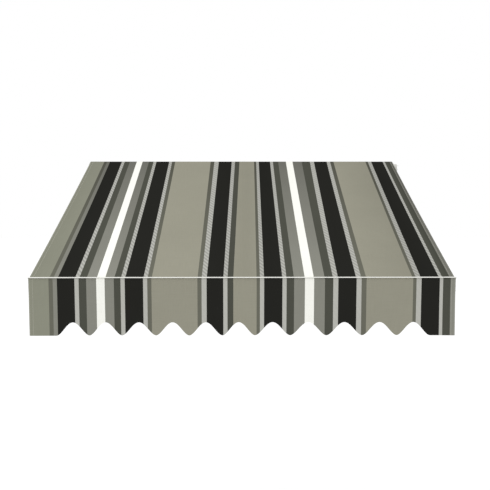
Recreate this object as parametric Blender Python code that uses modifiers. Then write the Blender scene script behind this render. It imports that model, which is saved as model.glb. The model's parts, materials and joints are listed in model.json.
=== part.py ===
"""A folding-arm fabric awning for a wall: a striped cover on a roller, two folding arms and a front bar.

Units are metres, +Z is up and +X runs along the wall. The wall is the plane y = 0 and the awning
stands out towards -Y. The origin is the centre of the middle wall bracket's back face.

Everything that tilts is built in the arm frame: its origin is the tilt axis in the wall brackets,
its -Y runs out along the arms and its +Z is square to the plane that the arms fold in.
"""

import math

import bmesh
import bpy
from mathutils import Matrix, Vector

# Driving sizes
FABRIC_WIDTH = 2.400
ARM_LENGTH = 0.900  # from pivot to pivot, the same for all four arm members
SHOULDER_INSET = 0.120  # of a shoulder from the cloth's side edge
ARM_PITCH = math.radians(18.4)  # slope of the arms below the horizontal
OPEN_ANGLE = math.radians(15.0)  # between an arm member and the way out, fully open
VALANCE_DROP = 0.331  # from the top of the front bar to the lowest point of the valance
GAP = 0.0003  # between pieces that touch
RUNNING_GAP = 0.001  # beside a piece that turns
FABRIC = 0.0010  # thickness of the cloth as drawn

# Wall brackets and the tilting shoes in them
BRACKET_INSET = 0.320  # of an outer bracket from the cloth's side edge
WALL_PLATE_WIDTH = 0.100
WALL_PLATE_HEIGHT = 0.140
WALL_PLATE_THICKNESS = 0.008
WALL_BOLT_RADIUS = 0.0055
WALL_BOLT_SPREAD_X = 0.037
WALL_BOLT_SPREAD_Z = 0.054
EAR_THICKNESS = 0.006
TILT_AXIS_OUT = 0.035
TILT_AXIS_DROP = 0.010
TILT_BOLT_RADIUS = 0.005
LOCK_BOLT_RADIUS = 0.004
LOCK_BOLT_BACK = 0.016
LOCK_BOLT_UP = 0.042
TILT_UP = math.radians(13.0)
TILT_DOWN = math.radians(12.0)
SHOE_WIDTH = 0.040
SHOE_WALL = 0.0082
SCREW_RADIUS = 0.003
SCREW_HEAD = 0.004
SCREW_HEAD_RADIUS = 0.0058

# Torsion bar
BAR_SIDE = 0.040
BAR_WALL = 0.003
BAR_OUT = 0.042  # centre of the bar in the arm frame
BAR_UP = 0.022
BAR_CAP = 0.004

# Roller
TUBE_RADIUS = 0.039
TUBE_WALL = 0.0018
TUBE_OVERHANG = 0.003
ROLL_THICKNESS = 0.0015
ROLLER_OUT = 0.050
ROLLER_UP = 0.101
PLUG_FLANGE = 0.003
PLUG_DEPTH = 0.030
JOURNAL_RADIUS = 0.008
DRIVE_RADIUS = 0.0065
SIDE_PLATE = 0.006
SIDE_PLATE_ROUND = 0.028
SLEEVE_WALL = 0.006
SLEEVE_LENGTH = 0.030

# Worm gear: one thread against eleven teeth
MODULE = 0.0025
WHEEL_TEETH = 11
WHEEL_WIDTH = 0.008
WORM_PITCH_RADIUS = 0.009
WORM_CORE = 0.0062
WORM_TURNS = 3
TOOTH_THICKNESS = 0.0032
PRESSURE_ANGLE = math.radians(20.0)
GEAR_TIP_GAP = 0.0003
CRANK_LEAN = math.radians(45.0)  # of the crank shaft, from square to the arm plane
HOUSING_WALL = 0.005
CRANK_SHAFT_RADIUS = 0.006
CRANK_SHAFT_REACH = 0.050
EYE_RADIUS = 0.014
EYE_WIRE = 0.0042

# Folding arms
SHOULDER_OUT = 0.100  # from the torsion bar's centre
SHOULDER_WIDTH = 0.060
ARM_DROP = 0.012  # of the arm plane below the torsion bar's centre
ARM_WIDTH = 0.034
ARM_HEIGHT = 0.050
ARM_WALL = 0.0025
ARM_CORNER = 0.006
ARM_FOLD_GAP = 0.002  # between the two members of a folded arm
KNUCKLE_START = 0.0175
KNUCKLE_LENGTH = 0.060
LUG_RADIUS = 0.015
LUG_HEIGHT = 0.028
FORK_WALL = 0.008
PIN_RADIUS = 0.006
PIN_HEAD_RADIUS = 0.0105
PIN_HEAD = 0.003
SPIGOT = 0.035
SPRING_RADIUS = 0.0110
SPRING_WIRE = 0.0035
SPRING_LENGTH = 0.420

# Front bar, in upright axes: its section stands straight when the awning is open
FRONT_BAR_DEPTH = 0.038
FRONT_BAR_BOTTOM = -0.042
FRONT_BAR_SHELF = 0.035
FRONT_BAR_TOP = 0.042
FRONT_BAR_FACE = -0.016
FRONT_BAR_WALL = 0.0025
LIP_FRONT = -0.0305
LIP_BACK = -0.003
LIP_BOTTOM = 0.0335
LIP_TIP = 0.0022  # the lip's thickness at its front edge
LIP_ROUND = 0.0015
KEDER_RADIUS = 0.0026
COVER_GROOVE_FRONT = -0.0085
COVER_GROOVE_UP = 0.0355
COVER_GROOVE_RADIUS = 0.0032
VALANCE_GROOVE_FRONT = -0.0185
VALANCE_GROOVE_UP = 0.0378
VALANCE_GROOVE_RADIUS = 0.0029
VALANCE_SEAT = -0.023  # the face under the lip that the valance hangs in front of
VALANCE_STAND = 0.0009  # from that face to the middle of the valance
GROOVE_SLOT = 0.0024
WRIST_BACK = 0.075  # wrist pivot behind the front bar's own axes
WRIST_UP = 0.010
FRONT_CAP = 0.003
FLANGE_THICKNESS = 0.006
FLANGE_WIDTH = 0.060

# Valance edge: a straight stretch at each end and the waves between them, from left to right.
# Together they are as wide as the cloth, and on a wider or narrower cloth all of them stretch alike.
LEFT_STRAIGHT = 0.152
RIGHT_STRAIGHT = 0.140
WAVE_WIDTHS = (0.184, 0.184, 0.192, 0.188, 0.187, 0.184, 0.199, 0.205, 0.202, 0.196, 0.187)
WAVE_HEIGHT = 0.0755
WAVE_SHARPNESS = 1.75

# Sizes that follow
HALF_FABRIC = FABRIC_WIDTH / 2
ARM_SPREAD = HALF_FABRIC - SHOULDER_INSET
BRACKET_SPREAD = HALF_FABRIC - BRACKET_INSET
COVER_GROOVE = (COVER_GROOVE_FRONT, COVER_GROOVE_UP)
VALANCE_GROOVE = (VALANCE_GROOVE_FRONT, VALANCE_GROOVE_UP)
ARM_OFFSET = (ARM_WIDTH + ARM_FOLD_GAP) / 2
REACH = 2 * ARM_LENGTH * math.cos(OPEN_ANGLE)
SHOULDER_Y = -(BAR_OUT + SHOULDER_OUT)
ARM_Z = BAR_UP - ARM_DROP
FRONT_BAR_REAR = FRONT_BAR_FACE + FRONT_BAR_DEPTH
PLATE_INNER = HALF_FABRIC + TUBE_OVERHANG + GAP + PLUG_FLANGE + RUNNING_GAP
PLATE_OUTER = PLATE_INNER + SIDE_PLATE
ROLL_RADIUS = TUBE_RADIUS + GAP + ROLL_THICKNESS
COVER_RADIUS = ROLL_RADIUS + GAP + FABRIC / 2
WHEEL_PITCH_RADIUS = MODULE * WHEEL_TEETH / 2
GEAR_CENTRES = WHEEL_PITCH_RADIUS + WORM_PITCH_RADIUS
THREAD_LEAD = math.pi * MODULE
WHEEL_TIP = WHEEL_PITCH_RADIUS + MODULE - GEAR_TIP_GAP
WORM_TIP = WORM_PITCH_RADIUS + MODULE - GEAR_TIP_GAP
BARREL_RADIUS = WORM_TIP + RUNNING_GAP + HOUSING_WALL
WORM_X = PLATE_OUTER + GAP + BARREL_RADIUS
WORM_HALF = WORM_TURNS * THREAD_LEAD / 2
BARREL_TOP = -(WORM_HALF + 0.004)
BARREL_END = WORM_HALF + 0.014

LEFT, RIGHT = -1, 1
SIDES = {"left": LEFT, "right": RIGHT}
ROUND = 16  # facets of a pin, a hole or a bolt

WHITE_PAINT = ("white_paint", (0.86, 0.86, 0.84), 0.35, 0.0)
CAST_WHITE = ("cast_white", (0.80, 0.80, 0.78), 0.50, 0.0)
ZINC = ("zinc_plate", (0.62, 0.63, 0.64), 0.38, 0.9)
SPRING_STEEL = ("spring_steel", (0.30, 0.30, 0.31), 0.40, 0.9)
BRASS = ("bronze_wheel", (0.60, 0.44, 0.22), 0.40, 0.9)
GREY_PLASTIC = ("light_plastic", (0.78, 0.78, 0.76), 0.45, 0.0)
CLOTH = ("striped_cloth", (0.29, 0.28, 0.23), 0.90, 0.0)


# Scene helpers


def clear_scene():
    """Empties the scene and makes the collections for the pieces and the cutters."""
    for old in list(bpy.data.objects):
        bpy.data.objects.remove(old, do_unlink=True)
    made = []
    for name in ("folding_arm_awning", "cutters"):
        collection = bpy.data.collections.new(name)
        bpy.context.scene.collection.children.link(collection)
        made.append(collection)
    return made


PIECES, CUTTERS = clear_scene()


def axes(name, location, rotation=(0, 0, 0), parent=None):
    """An empty that carries a group of pieces."""
    empty = bpy.data.objects.new(name, None)
    empty.location = location
    empty.rotation_euler = rotation
    empty.parent = parent
    PIECES.objects.link(empty)
    return empty


def finish_of(finish):
    """The Principled material of one finish, made once."""
    name, colour, roughness, metallic = finish
    material = bpy.data.materials.get(name)
    if material is None:
        material = bpy.data.materials.new(name)
        material.use_nodes = True
        shader = material.node_tree.nodes["Principled BSDF"]
        shader.inputs["Base Color"].default_value = (*colour, 1)
        shader.inputs["Roughness"].default_value = roughness
        shader.inputs["Metallic"].default_value = metallic
    return material


def solid(name, mesh, parent, finish=None):
    """A piece, or a cutter where no finish is given."""
    piece = bpy.data.objects.new(name, mesh)
    piece.parent = parent
    if finish is None:
        CUTTERS.objects.link(piece)
        piece.hide_render = True
        piece.display_type = "WIRE"
    else:
        PIECES.objects.link(piece)
        mesh.materials.append(finish_of(finish))
    return piece


def box(size, centre):
    """A box mesh."""
    mesh = bpy.data.meshes.new("box")
    shape = bmesh.new()
    bmesh.ops.create_cube(shape, size=1)
    bmesh.ops.scale(shape, vec=size, verts=shape.verts)
    bmesh.ops.translate(shape, vec=centre, verts=shape.verts)
    shape.to_mesh(mesh)
    shape.free()
    return mesh


def rod(radius, length, centre, along=(0, 0, 1), sides=ROUND, end_radius=None):
    """A round bar, cone or, with few sides, a prism, centred on a point."""
    mesh = bpy.data.meshes.new("rod")
    shape = bmesh.new()
    bmesh.ops.create_cone(
        shape,
        cap_ends=True,
        segments=sides,
        radius1=radius,
        radius2=radius if end_radius is None else end_radius,
        depth=length,
    )
    turn = Vector((0, 0, 1)).rotation_difference(Vector(along)).to_matrix().to_4x4()
    shape.transform(Matrix.Translation(centre) @ turn)
    shape.to_mesh(mesh)
    shape.free()
    return mesh


FACING = {
    "X": Matrix(((0, 0, 1, 0), (1, 0, 0, 0), (0, 1, 0, 0), (0, 0, 0, 1))),
    "Y": Matrix(((1, 0, 0, 0), (0, 0, -1, 0), (0, 1, 0, 0), (0, 0, 0, 1))),
    "Z": Matrix.Identity(4),
}


def face_outward(shape):
    """Makes the faces of a closed shape agree and point outward."""
    bmesh.ops.recalc_face_normals(shape, faces=shape.faces)
    if shape.calc_volume(signed=True) < 0:
        bmesh.ops.reverse_faces(shape, faces=shape.faces)


def plate(outline, low, high, facing, holes=()):
    """A flat outline, filled and given a thickness from low to high along the axis that it faces.

    The outline is in (y, z) where it faces X, (x, z) where it faces Y and (x, y) where it faces Z.
    """
    curve = bpy.data.curves.new("outline", "CURVE")
    curve.dimensions = "2D"
    curve.fill_mode = "BOTH"
    curve.extrude = (high - low) / 2
    for ring in (outline, *holes):
        spline = curve.splines.new("POLY")
        spline.points.add(len(ring) - 1)
        for point, (a, b) in zip(spline.points, ring):
            point.co = (a, b, 0, 1)
        spline.use_cyclic_u = True
    flat = bpy.data.objects.new("outline", curve)
    CUTTERS.objects.link(flat)
    seen = flat.evaluated_get(bpy.context.evaluated_depsgraph_get())
    mesh = bpy.data.meshes.new_from_object(seen)
    bpy.data.objects.remove(flat, do_unlink=True)
    middle = (high + low) / 2 * (-1 if facing == "Y" else 1)
    shape = bmesh.new()
    shape.from_mesh(mesh)
    bmesh.ops.remove_doubles(shape, verts=shape.verts, dist=1e-6)
    shape.transform(FACING[facing] @ Matrix.Translation((0, 0, middle)))
    face_outward(shape)
    shape.to_mesh(mesh)
    shape.free()
    mesh.materials.clear()
    return mesh


def arc(centre, radius, start, end, steps):
    """Points on an arc, from the start angle to the end angle in degrees, both ends included."""
    a0, a1 = math.radians(start), math.radians(end)
    turns = [a0 + (a1 - a0) * i / steps for i in range(steps + 1)]
    return [(centre[0] + radius * math.cos(t), centre[1] + radius * math.sin(t)) for t in turns]


def combine(piece, operation, meshes):
    """Joins or cuts the piece with each mesh, which lies in the same axes."""
    for mesh in meshes:
        tool = solid(f"{piece.name}_{operation.lower()}", mesh, piece.parent)
        modifier = piece.modifiers.new(operation.title(), "BOOLEAN")
        modifier.operation = operation
        modifier.solver = "EXACT"
        modifier.object = tool
    return piece


def join(piece, *meshes):
    """Adds material to the piece."""
    return combine(piece, "UNION", meshes)


def cut(piece, *meshes):
    """Takes material from the piece."""
    return combine(piece, "DIFFERENCE", meshes)


def square_tube(name, side, wall, low, high, centre, parent, finish):
    """A square tube along X, with rounded edges."""
    outer = rounded_rectangle(centre, side, side, 2 * wall, 3)
    inner = rounded_rectangle(centre, side - 2 * wall, side - 2 * wall, wall, 2)
    return solid(name, plate(outer, low, high, "X", [inner]), parent, finish)


def rounded_rectangle(centre, width, height, radius, steps):
    """The outline of a rectangle with round corners."""
    cx, cy = width / 2 - radius, height / 2 - radius
    points = []
    for sx, sy, start in ((1, 1, 0), (-1, 1, 90), (-1, -1, 180), (1, -1, 270)):
        corner = (centre[0] + sx * cx, centre[1] + sy * cy)
        points += arc(corner, radius, start, start + 90, steps)
    return points


# Wall brackets


def ear_outline():
    """The side of a wall bracket's ear in (y, z), clear of the torsion bar at every tilt."""
    back = -WALL_PLATE_THICKNESS / 2
    front_low = -(TILT_AXIS_OUT + TILT_BOLT_RADIUS + 0.006)
    front_high = front_low - 0.007
    return [
        (back, -0.056),
        (-TILT_AXIS_OUT + 0.005, -TILT_AXIS_DROP - 0.022),
        (front_low, -TILT_AXIS_DROP - 0.006),
        (front_low, -TILT_AXIS_DROP + 0.010),
        (front_high, -TILT_AXIS_DROP + 0.036),
        (front_high, -TILT_AXIS_DROP + 0.054),
        (-TILT_AXIS_OUT + 0.005, -TILT_AXIS_DROP + 0.062),
        (back, 0.058),
    ]


def lock_slot():
    """The arc slot in (y, z) that the lock bolt follows as the awning tilts."""
    radius = math.hypot(LOCK_BOLT_BACK, LOCK_BOLT_UP)
    at_rest = math.degrees(math.atan2(LOCK_BOLT_UP, LOCK_BOLT_BACK) + ARM_PITCH)
    start = at_rest - math.degrees(TILT_UP)
    end = at_rest + math.degrees(TILT_DOWN)
    half = LOCK_BOLT_RADIUS + 0.0006
    centre = (-TILT_AXIS_OUT, -TILT_AXIS_DROP)
    first = arc(centre, radius, start, start, 1)[0]
    last = arc(centre, radius, end, end, 1)[0]
    outline = arc(centre, radius + half, start, end, 6)
    outline += arc(last, half, end, end + 180, 6)[1:-1]
    outline += arc(centre, radius - half, end, start, 6)
    outline += arc(first, half, start + 180, start + 360, 6)[1:-1]
    return outline


def wall_bracket(name, x):
    """A plate on the wall with four holes, and two ears that hold the tilting shoe."""
    carrier = axes(f"{name}_axes", (x, 0, 0))
    plate_mesh = box(
        (WALL_PLATE_WIDTH, WALL_PLATE_THICKNESS, WALL_PLATE_HEIGHT),
        (0, -WALL_PLATE_THICKNESS / 2, 0),
    )
    bracket = solid(name, plate_mesh, carrier, WHITE_PAINT)
    inner = SHOE_WIDTH / 2 + 0.0005
    reach = 2 * (inner + EAR_THICKNESS) + 0.01
    for side in (LEFT, RIGHT):
        low, high = sorted((side * inner, side * (inner + EAR_THICKNESS)))
        join(bracket, plate(ear_outline(), low, high, "X"))
    tilt_hole = rod(
        TILT_BOLT_RADIUS + GAP, reach, (0, -TILT_AXIS_OUT, -TILT_AXIS_DROP), (1, 0, 0)
    )
    cut(bracket, tilt_hole, plate(lock_slot(), -reach / 2, reach / 2, "X"))
    for sx in (LEFT, RIGHT):
        for sz in (LEFT, RIGHT):
            place = (sx * WALL_BOLT_SPREAD_X, -WALL_PLATE_THICKNESS / 2, sz * WALL_BOLT_SPREAD_Z)
            cut(bracket, rod(WALL_BOLT_RADIUS, 3 * WALL_PLATE_THICKNESS, place, (0, 1, 0), 12))
    return bracket


def bolt(name, radius, place, grip, parent):
    """A hexagon bolt along X through a grip of that width, with its nut."""
    head, nut = 1.1 * radius, 1.4 * radius
    outside = grip / 2 + GAP
    x, y, z = place
    shank = rod(radius, 2 * outside + nut + head / 2 + 0.002, (x + (nut - head / 2 + 0.002) / 2, y, z), (1, 0, 0))
    piece = solid(name, shank, parent, ZINC)
    join(
        piece,
        rod(1.85 * radius, head, (x - outside - head / 2, y, z), (1, 0, 0), 6),
        rod(1.85 * radius, nut, (x + outside + nut / 2, y, z), (1, 0, 0), 6),
    )
    return piece


def clamp_screw(name, x, arm_frame):
    """A screw up through the underside of a collar, as far as the torsion bar."""
    face = BAR_UP - collar_half()
    head = (x, -BAR_OUT, face - GAP - SCREW_HEAD / 2)
    screw = solid(name, rod(SCREW_HEAD_RADIUS, SCREW_HEAD, head, sides=6), arm_frame, ZINC)
    shank = SHOE_WALL + GAP
    centre = (x, -BAR_OUT, face - GAP - 0.0005 + shank / 2)
    return join(screw, rod(SCREW_RADIUS, shank + 0.001, centre))


def clamp_hole(x):
    """The hole that a clamp screw goes through."""
    return rod(SCREW_RADIUS + GAP, 2 * SHOE_WALL, (x, -BAR_OUT, BAR_UP - collar_half()))


def collar_half():
    """Half the outer width of a collar round the torsion bar."""
    return BAR_SIDE / 2 + GAP + SHOE_WALL


def tilt_shoe(name, x, arm_frame):
    """A collar round the torsion bar, with a lug that turns on the tilt bolt."""
    half = collar_half()
    low, high = x - SHOE_WIDTH / 2, x + SHOE_WIDTH / 2
    collar = rounded_rectangle((-BAR_OUT, BAR_UP), 2 * half, 2 * half, 0.004, 2)
    piece = solid(name, plate(collar, low, high, "X"), arm_frame, CAST_WHITE)
    back = -BAR_OUT + half
    lug = [
        (back - 0.004, BAR_UP - half + 0.003),
        (0.004, -0.012),
        (0.012, -0.004),
        (LOCK_BOLT_BACK + 0.008, LOCK_BOLT_UP - 0.008),
        (LOCK_BOLT_BACK + 0.008, LOCK_BOLT_UP + 0.004),
        (LOCK_BOLT_BACK, LOCK_BOLT_UP + 0.010),
        (back - 0.004, BAR_UP + half - 0.003),
    ]
    join(piece, plate(lug, low, high, "X"))
    side = BAR_SIDE + 2 * GAP
    cut(
        piece,
        box((2 * SHOE_WIDTH, side, side), (x, -BAR_OUT, BAR_UP)),
        rod(TILT_BOLT_RADIUS + GAP, 2 * SHOE_WIDTH, (x, 0, 0), (1, 0, 0)),
        rod(LOCK_BOLT_RADIUS + GAP, 2 * SHOE_WIDTH, (x, LOCK_BOLT_BACK, LOCK_BOLT_UP), (1, 0, 0)),
        clamp_hole(x),
    )
    return piece


# Roller and its gear


def tube_with_groove():
    """The roller tube's outline in (y, z) about its own axis, with the keder groove pressed in it."""
    half_slot = math.degrees(math.asin(GROOVE_SLOT / 2 / TUBE_RADIUS))
    deep = TUBE_RADIUS - COVER_GROOVE_RADIUS - 0.0008
    narrow = math.degrees(math.asin(GROOVE_SLOT / 2 / COVER_GROOVE_RADIUS))
    body = arc((0, 0), TUBE_RADIUS, -90 + half_slot, 270 - half_slot, 40)
    groove = arc((0, -deep), COVER_GROOVE_RADIUS, 270 - narrow, -90 + narrow, 10)
    return body + groove


def bore_round_groove():
    """The roller tube's bore in (y, z): it runs round the pressed groove at the wall's thickness."""
    inner = TUBE_RADIUS - TUBE_WALL
    deep = TUBE_RADIUS - COVER_GROOVE_RADIUS - 0.0008
    bulge = COVER_GROOVE_RADIUS + TUBE_WALL
    spread = math.degrees(math.asin(bulge / inner))
    body = arc((0, 0), inner, -90 + spread, 270 - spread, 36)
    inside = arc((0, -deep), bulge, 170, 10, 8)
    return body + inside


def moved(outline, centre):
    """The outline moved to a centre."""
    return [(centre[0] + a, centre[1] + b) for a, b in outline]


ROLLER_CENTRE = (-ROLLER_OUT, ROLLER_UP)


def roller(arm_frame):
    """The roller tube, its end plugs and the turns of cloth that stay on it."""
    end = HALF_FABRIC + TUBE_OVERHANG
    outline = moved(tube_with_groove(), ROLLER_CENTRE)
    bore = moved(bore_round_groove(), ROLLER_CENTRE)
    solid("roller_tube", plate(outline, -end, end, "X", [bore]), arm_frame, ZINC)
    turns = arc(ROLLER_CENTRE, ROLL_RADIUS, 0, 360 - 360 / 48, 47)
    inside = arc(ROLLER_CENTRE, TUBE_RADIUS + GAP, 0, 360 - 360 / 48, 47)
    cloth = plate(turns, -HALF_FABRIC, HALF_FABRIC, "X", [inside])
    solid("cloth_turns", cloth, arm_frame, CLOTH)
    for name, side in SIDES.items():
        roller_plug(name, side, end + GAP, arm_frame)


def roller_plug(name, side, face, arm_frame):
    """A plug in the roller tube's end, with its flange and its journal or drive square."""
    y, z = ROLLER_CENTRE
    across = (1, 0, 0)
    deep = TUBE_RADIUS - 2 * COVER_GROOVE_RADIUS - TUBE_WALL - 0.003
    spigot = rod(deep, PLUG_DEPTH + PLUG_FLANGE, (side * (face + (PLUG_FLANGE - PLUG_DEPTH) / 2), y, z), across, 24)
    piece = solid(f"roller_plug_{name}", spigot, arm_frame, GREY_PLASTIC)
    flange = rod(TUBE_RADIUS, PLUG_FLANGE, (side * (face + PLUG_FLANGE / 2), y, z), across, 32)
    pad = rod(TUBE_RADIUS - TUBE_WALL - GAP, 0.010, (side * (face - 0.004), y, z), across, 32)
    notch = 2 * (COVER_GROOVE_RADIUS + TUBE_WALL) + 0.002
    clear = box((0.030, notch, notch), (side * (face - 0.015), y, z - TUBE_RADIUS + notch / 3))
    journal = JOURNAL_RADIUS
    reach = PLATE_OUTER + 0.004 - face
    if side == RIGHT:
        reach = PLATE_OUTER + GAP + HOUSING_WALL - face
    join(piece, pad)
    cut(piece, clear)
    join(piece, flange, rod(journal, reach, (side * (face + reach / 2), y, z), across))
    if side == RIGHT:
        drive = WORM_X + WHEEL_WIDTH / 2 - face
        join(piece, rod(DRIVE_RADIUS, drive, (face + drive / 2, y, z), across, 6))
    return piece


def wheel_outline():
    """The worm wheel's teeth in (y, z) about its own axis, straight flanks at the pressure angle."""
    root = GEAR_CENTRES - WORM_TIP - GEAR_TIP_GAP - 0.0003
    outline = []
    for tooth in range(WHEEL_TEETH):
        middle = 2 * math.pi * tooth / WHEEL_TEETH
        for radius, side in ((root, -1), (WHEEL_TIP, -1), (WHEEL_TIP, 1), (root, 1)):
            half = TOOTH_THICKNESS / 2 - (radius - WHEEL_PITCH_RADIUS) * math.tan(PRESSURE_ANGLE)
            turn = middle + side * half / radius
            outline.append((radius * math.cos(turn), radius * math.sin(turn)))
    return outline


def worm_wheel(arm_frame):
    """The bronze wheel on the roller's drive end. Its teeth lean with the worm's thread."""
    y, z = ROLLER_CENTRE
    mesh = plate(wheel_outline(), -WHEEL_WIDTH / 2, WHEEL_WIDTH / 2, "X")
    lean = THREAD_LEAD / (2 * math.pi * WORM_PITCH_RADIUS) / WHEEL_PITCH_RADIUS
    face = math.atan2(*reversed(worm_side())) + math.pi / WHEEL_TEETH
    for vertex in mesh.vertices:
        turn = Matrix.Rotation(face + lean * vertex.co.x, 3, "X")
        vertex.co = turn @ vertex.co + Vector((WORM_X, y, z))
    wheel = solid("worm_wheel", mesh, arm_frame, BRASS)
    cut(wheel, rod(DRIVE_RADIUS + GAP, 0.05, (WORM_X, y, z), (1, 0, 0), 6))
    return wheel


def crank_way():
    """The way that the crank shaft points, in the arm frame: out and down."""
    return Vector((0, -math.sin(CRANK_LEAN), -math.cos(CRANK_LEAN)))


def worm_side():
    """From the roller's axis to the worm's axis, as (y, z) of a unit way: back and down."""
    return math.cos(CRANK_LEAN), -math.sin(CRANK_LEAN)


def worm_centre():
    """The middle of the worm's thread in the arm frame."""
    y, z = ROLLER_CENTRE
    sy, sz = worm_side()
    return Vector((WORM_X, y + GEAR_CENTRES * sy, z + GEAR_CENTRES * sz))


def thread():
    """One trapezoid thread wound round +Z, starting towards +X, with its middle at the origin."""
    shape = bmesh.new()
    root = WORM_CORE - 0.0010
    steps = 14 * WORM_TURNS
    section = []
    for radius, side in ((root, -1), (WORM_TIP, -1), (WORM_TIP, 1), (root, 1)):
        half = TOOTH_THICKNESS / 2 - (radius - WORM_PITCH_RADIUS) * math.tan(PRESSURE_ANGLE)
        section.append(shape.verts.new((radius, 0, side * half - WORM_HALF)))
    face = shape.faces.new(section)
    bmesh.ops.spin(
        shape,
        geom=[face, *face.edges, *face.verts],
        angle=2 * math.pi * WORM_TURNS,
        steps=steps,
        axis=(0, 0, 1),
        cent=(0, 0, 0),
        dvec=(0, 0, 2 * WORM_HALF / steps),
    )
    face_outward(shape)
    mesh = bpy.data.meshes.new("thread")
    shape.to_mesh(mesh)
    shape.free()
    return mesh


def crank_eye_centre():
    """The middle of the eye that the crank handle hooks into, in the arm frame."""
    return worm_centre() + crank_way() * (CRANK_SHAFT_REACH + EYE_RADIUS)


def crank_worm(arm_frame):
    """The worm, its shaft and the eye on the shaft's end, one forging."""
    way, centre = crank_way(), worm_centre()
    facing_wheel = Vector((0, -worm_side()[0], -worm_side()[1]))
    turn = Matrix((facing_wheel, way.cross(facing_wheel), way)).transposed()
    top = BARREL_TOP + 0.0005
    length = CRANK_SHAFT_REACH - top
    piece = solid("crank_worm", rod(WORM_CORE, 2 * WORM_HALF + 0.006, centre, way), arm_frame, ZINC)
    coil = thread()
    tooth_at_middle = Matrix.Rotation(-math.pi * WORM_TURNS, 4, "Z")
    coil.transform(Matrix.Translation(centre) @ turn.to_4x4() @ tooth_at_middle)
    join(piece, coil)
    join(piece, rod(CRANK_SHAFT_RADIUS, length, centre + way * (top + length / 2), way))
    bpy.ops.mesh.primitive_torus_add(
        major_radius=EYE_RADIUS,
        minor_radius=EYE_WIRE,
        major_segments=20,
        minor_segments=8,
    )
    ring = bpy.context.object
    eye = ring.data
    bpy.data.objects.remove(ring, do_unlink=True)
    eye.transform(Matrix.Translation(crank_eye_centre()) @ Matrix.Rotation(math.pi / 2, 4, "Y"))
    join(piece, eye)
    return piece


def gear_housing(arm_frame):
    """The cast case of the worm gear, open towards the side plate, and the gland round its shaft."""
    y, z = ROLLER_CENTRE
    way, centre = crank_way(), worm_centre()
    chamber = WHEEL_TIP + RUNNING_GAP
    low, high = PLATE_OUTER + GAP, WORM_X + WHEEL_WIDTH / 2 + RUNNING_GAP + HOUSING_WALL / 2
    puck = rod(chamber + HOUSING_WALL, high - low, ((low + high) / 2, y, z), (1, 0, 0), 32)
    piece = solid("gear_housing", puck, arm_frame, CAST_WHITE)
    top, end = BARREL_TOP - HOUSING_WALL, BARREL_END
    barrel = rod(BARREL_RADIUS, end - top, centre + way * (top + end) / 2, way, 32)
    join(piece, barrel)
    inside = high - HOUSING_WALL / 2 - low + 0.010
    cut(
        piece,
        rod(chamber, inside, (high - HOUSING_WALL / 2 - inside / 2, y, z), (1, 0, 0), 32),
        rod(
            WORM_TIP + RUNNING_GAP,
            end - BARREL_TOP + 0.010,
            centre + way * (BARREL_TOP + end + 0.010) / 2,
            way,
            32,
        ),
    )
    gland_length = 0.010
    gland = rod(WORM_TIP + RUNNING_GAP - GAP, gland_length, centre + way * (end - gland_length / 2), way, 32)
    ring = solid("crank_gland", gland, arm_frame, GREY_PLASTIC)
    cut(ring, rod(CRANK_SHAFT_RADIUS + GAP, 0.05, centre + way * end, way))
    return piece


def side_plate(name, side, arm_frame):
    """A roller bracket: a plate that carries the roller's end, on a sleeve round the torsion bar."""
    low, high = sorted((side * PLATE_INNER, side * PLATE_OUTER))
    y, z = ROLLER_CENTRE
    half = BAR_SIDE / 2 + GAP + SLEEVE_WALL
    outline = [(-BAR_OUT + half, BAR_UP - half), (-BAR_OUT + half, BAR_UP + half)]
    outline += arc(ROLLER_CENTRE, SIDE_PLATE_ROUND, 10, 185, 14)
    outline += [(-BAR_OUT - half, BAR_UP + half), (-BAR_OUT - half, BAR_UP - half)]
    piece = solid(f"roller_bracket_{name}", plate(outline, low, high, "X"), arm_frame, CAST_WHITE)
    inner = PLATE_INNER - SLEEVE_LENGTH
    middle = side * (inner + PLATE_OUTER - 0.001) / 2
    join(piece, box((PLATE_OUTER - 0.001 - inner, 2 * half, 2 * half), (middle, -BAR_OUT, BAR_UP)))
    square = BAR_SIDE + 2 * GAP
    cut(
        piece,
        box((0.2, square, square), (side * PLATE_INNER, -BAR_OUT, BAR_UP)),
        rod(JOURNAL_RADIUS + GAP, 0.05, (side * PLATE_INNER, y, z), (1, 0, 0)),
    )
    return piece


# Folding arms


def knuckle_point(point, at, way, side):
    """A knuckle's own (along, out) point in the arm member's axes. Out is the side away from the fold."""
    return at + way * point[0], -side * point[1]


def link_outline(at, way, side):
    """The round end of a knuckle about its pivot, and the strip that joins it to the body."""
    edge = ARM_FOLD_GAP / 2
    reach = KNUCKLE_START + 0.004
    lean = math.degrees(math.asin(edge / LUG_RADIUS))
    points = [(reach, edge)] + arc((0, 0), LUG_RADIUS, lean, -270, 18) + [(reach, 0.0215)]
    return [knuckle_point(p, at, way, side) for p in points]


def body_outline(at, way, side):
    """The body of a knuckle, wholly on the side away from the fold."""
    edge, wide = ARM_FOLD_GAP / 2, ARM_FOLD_GAP / 2 + ARM_WIDTH
    points = [
        (KNUCKLE_START, edge),
        (KNUCKLE_LENGTH, edge),
        (KNUCKLE_LENGTH, wide),
        (KNUCKLE_START + 0.020, wide),
        (KNUCKLE_START, 0.022),
    ]
    return [knuckle_point(p, at, way, side) for p in points]


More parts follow.
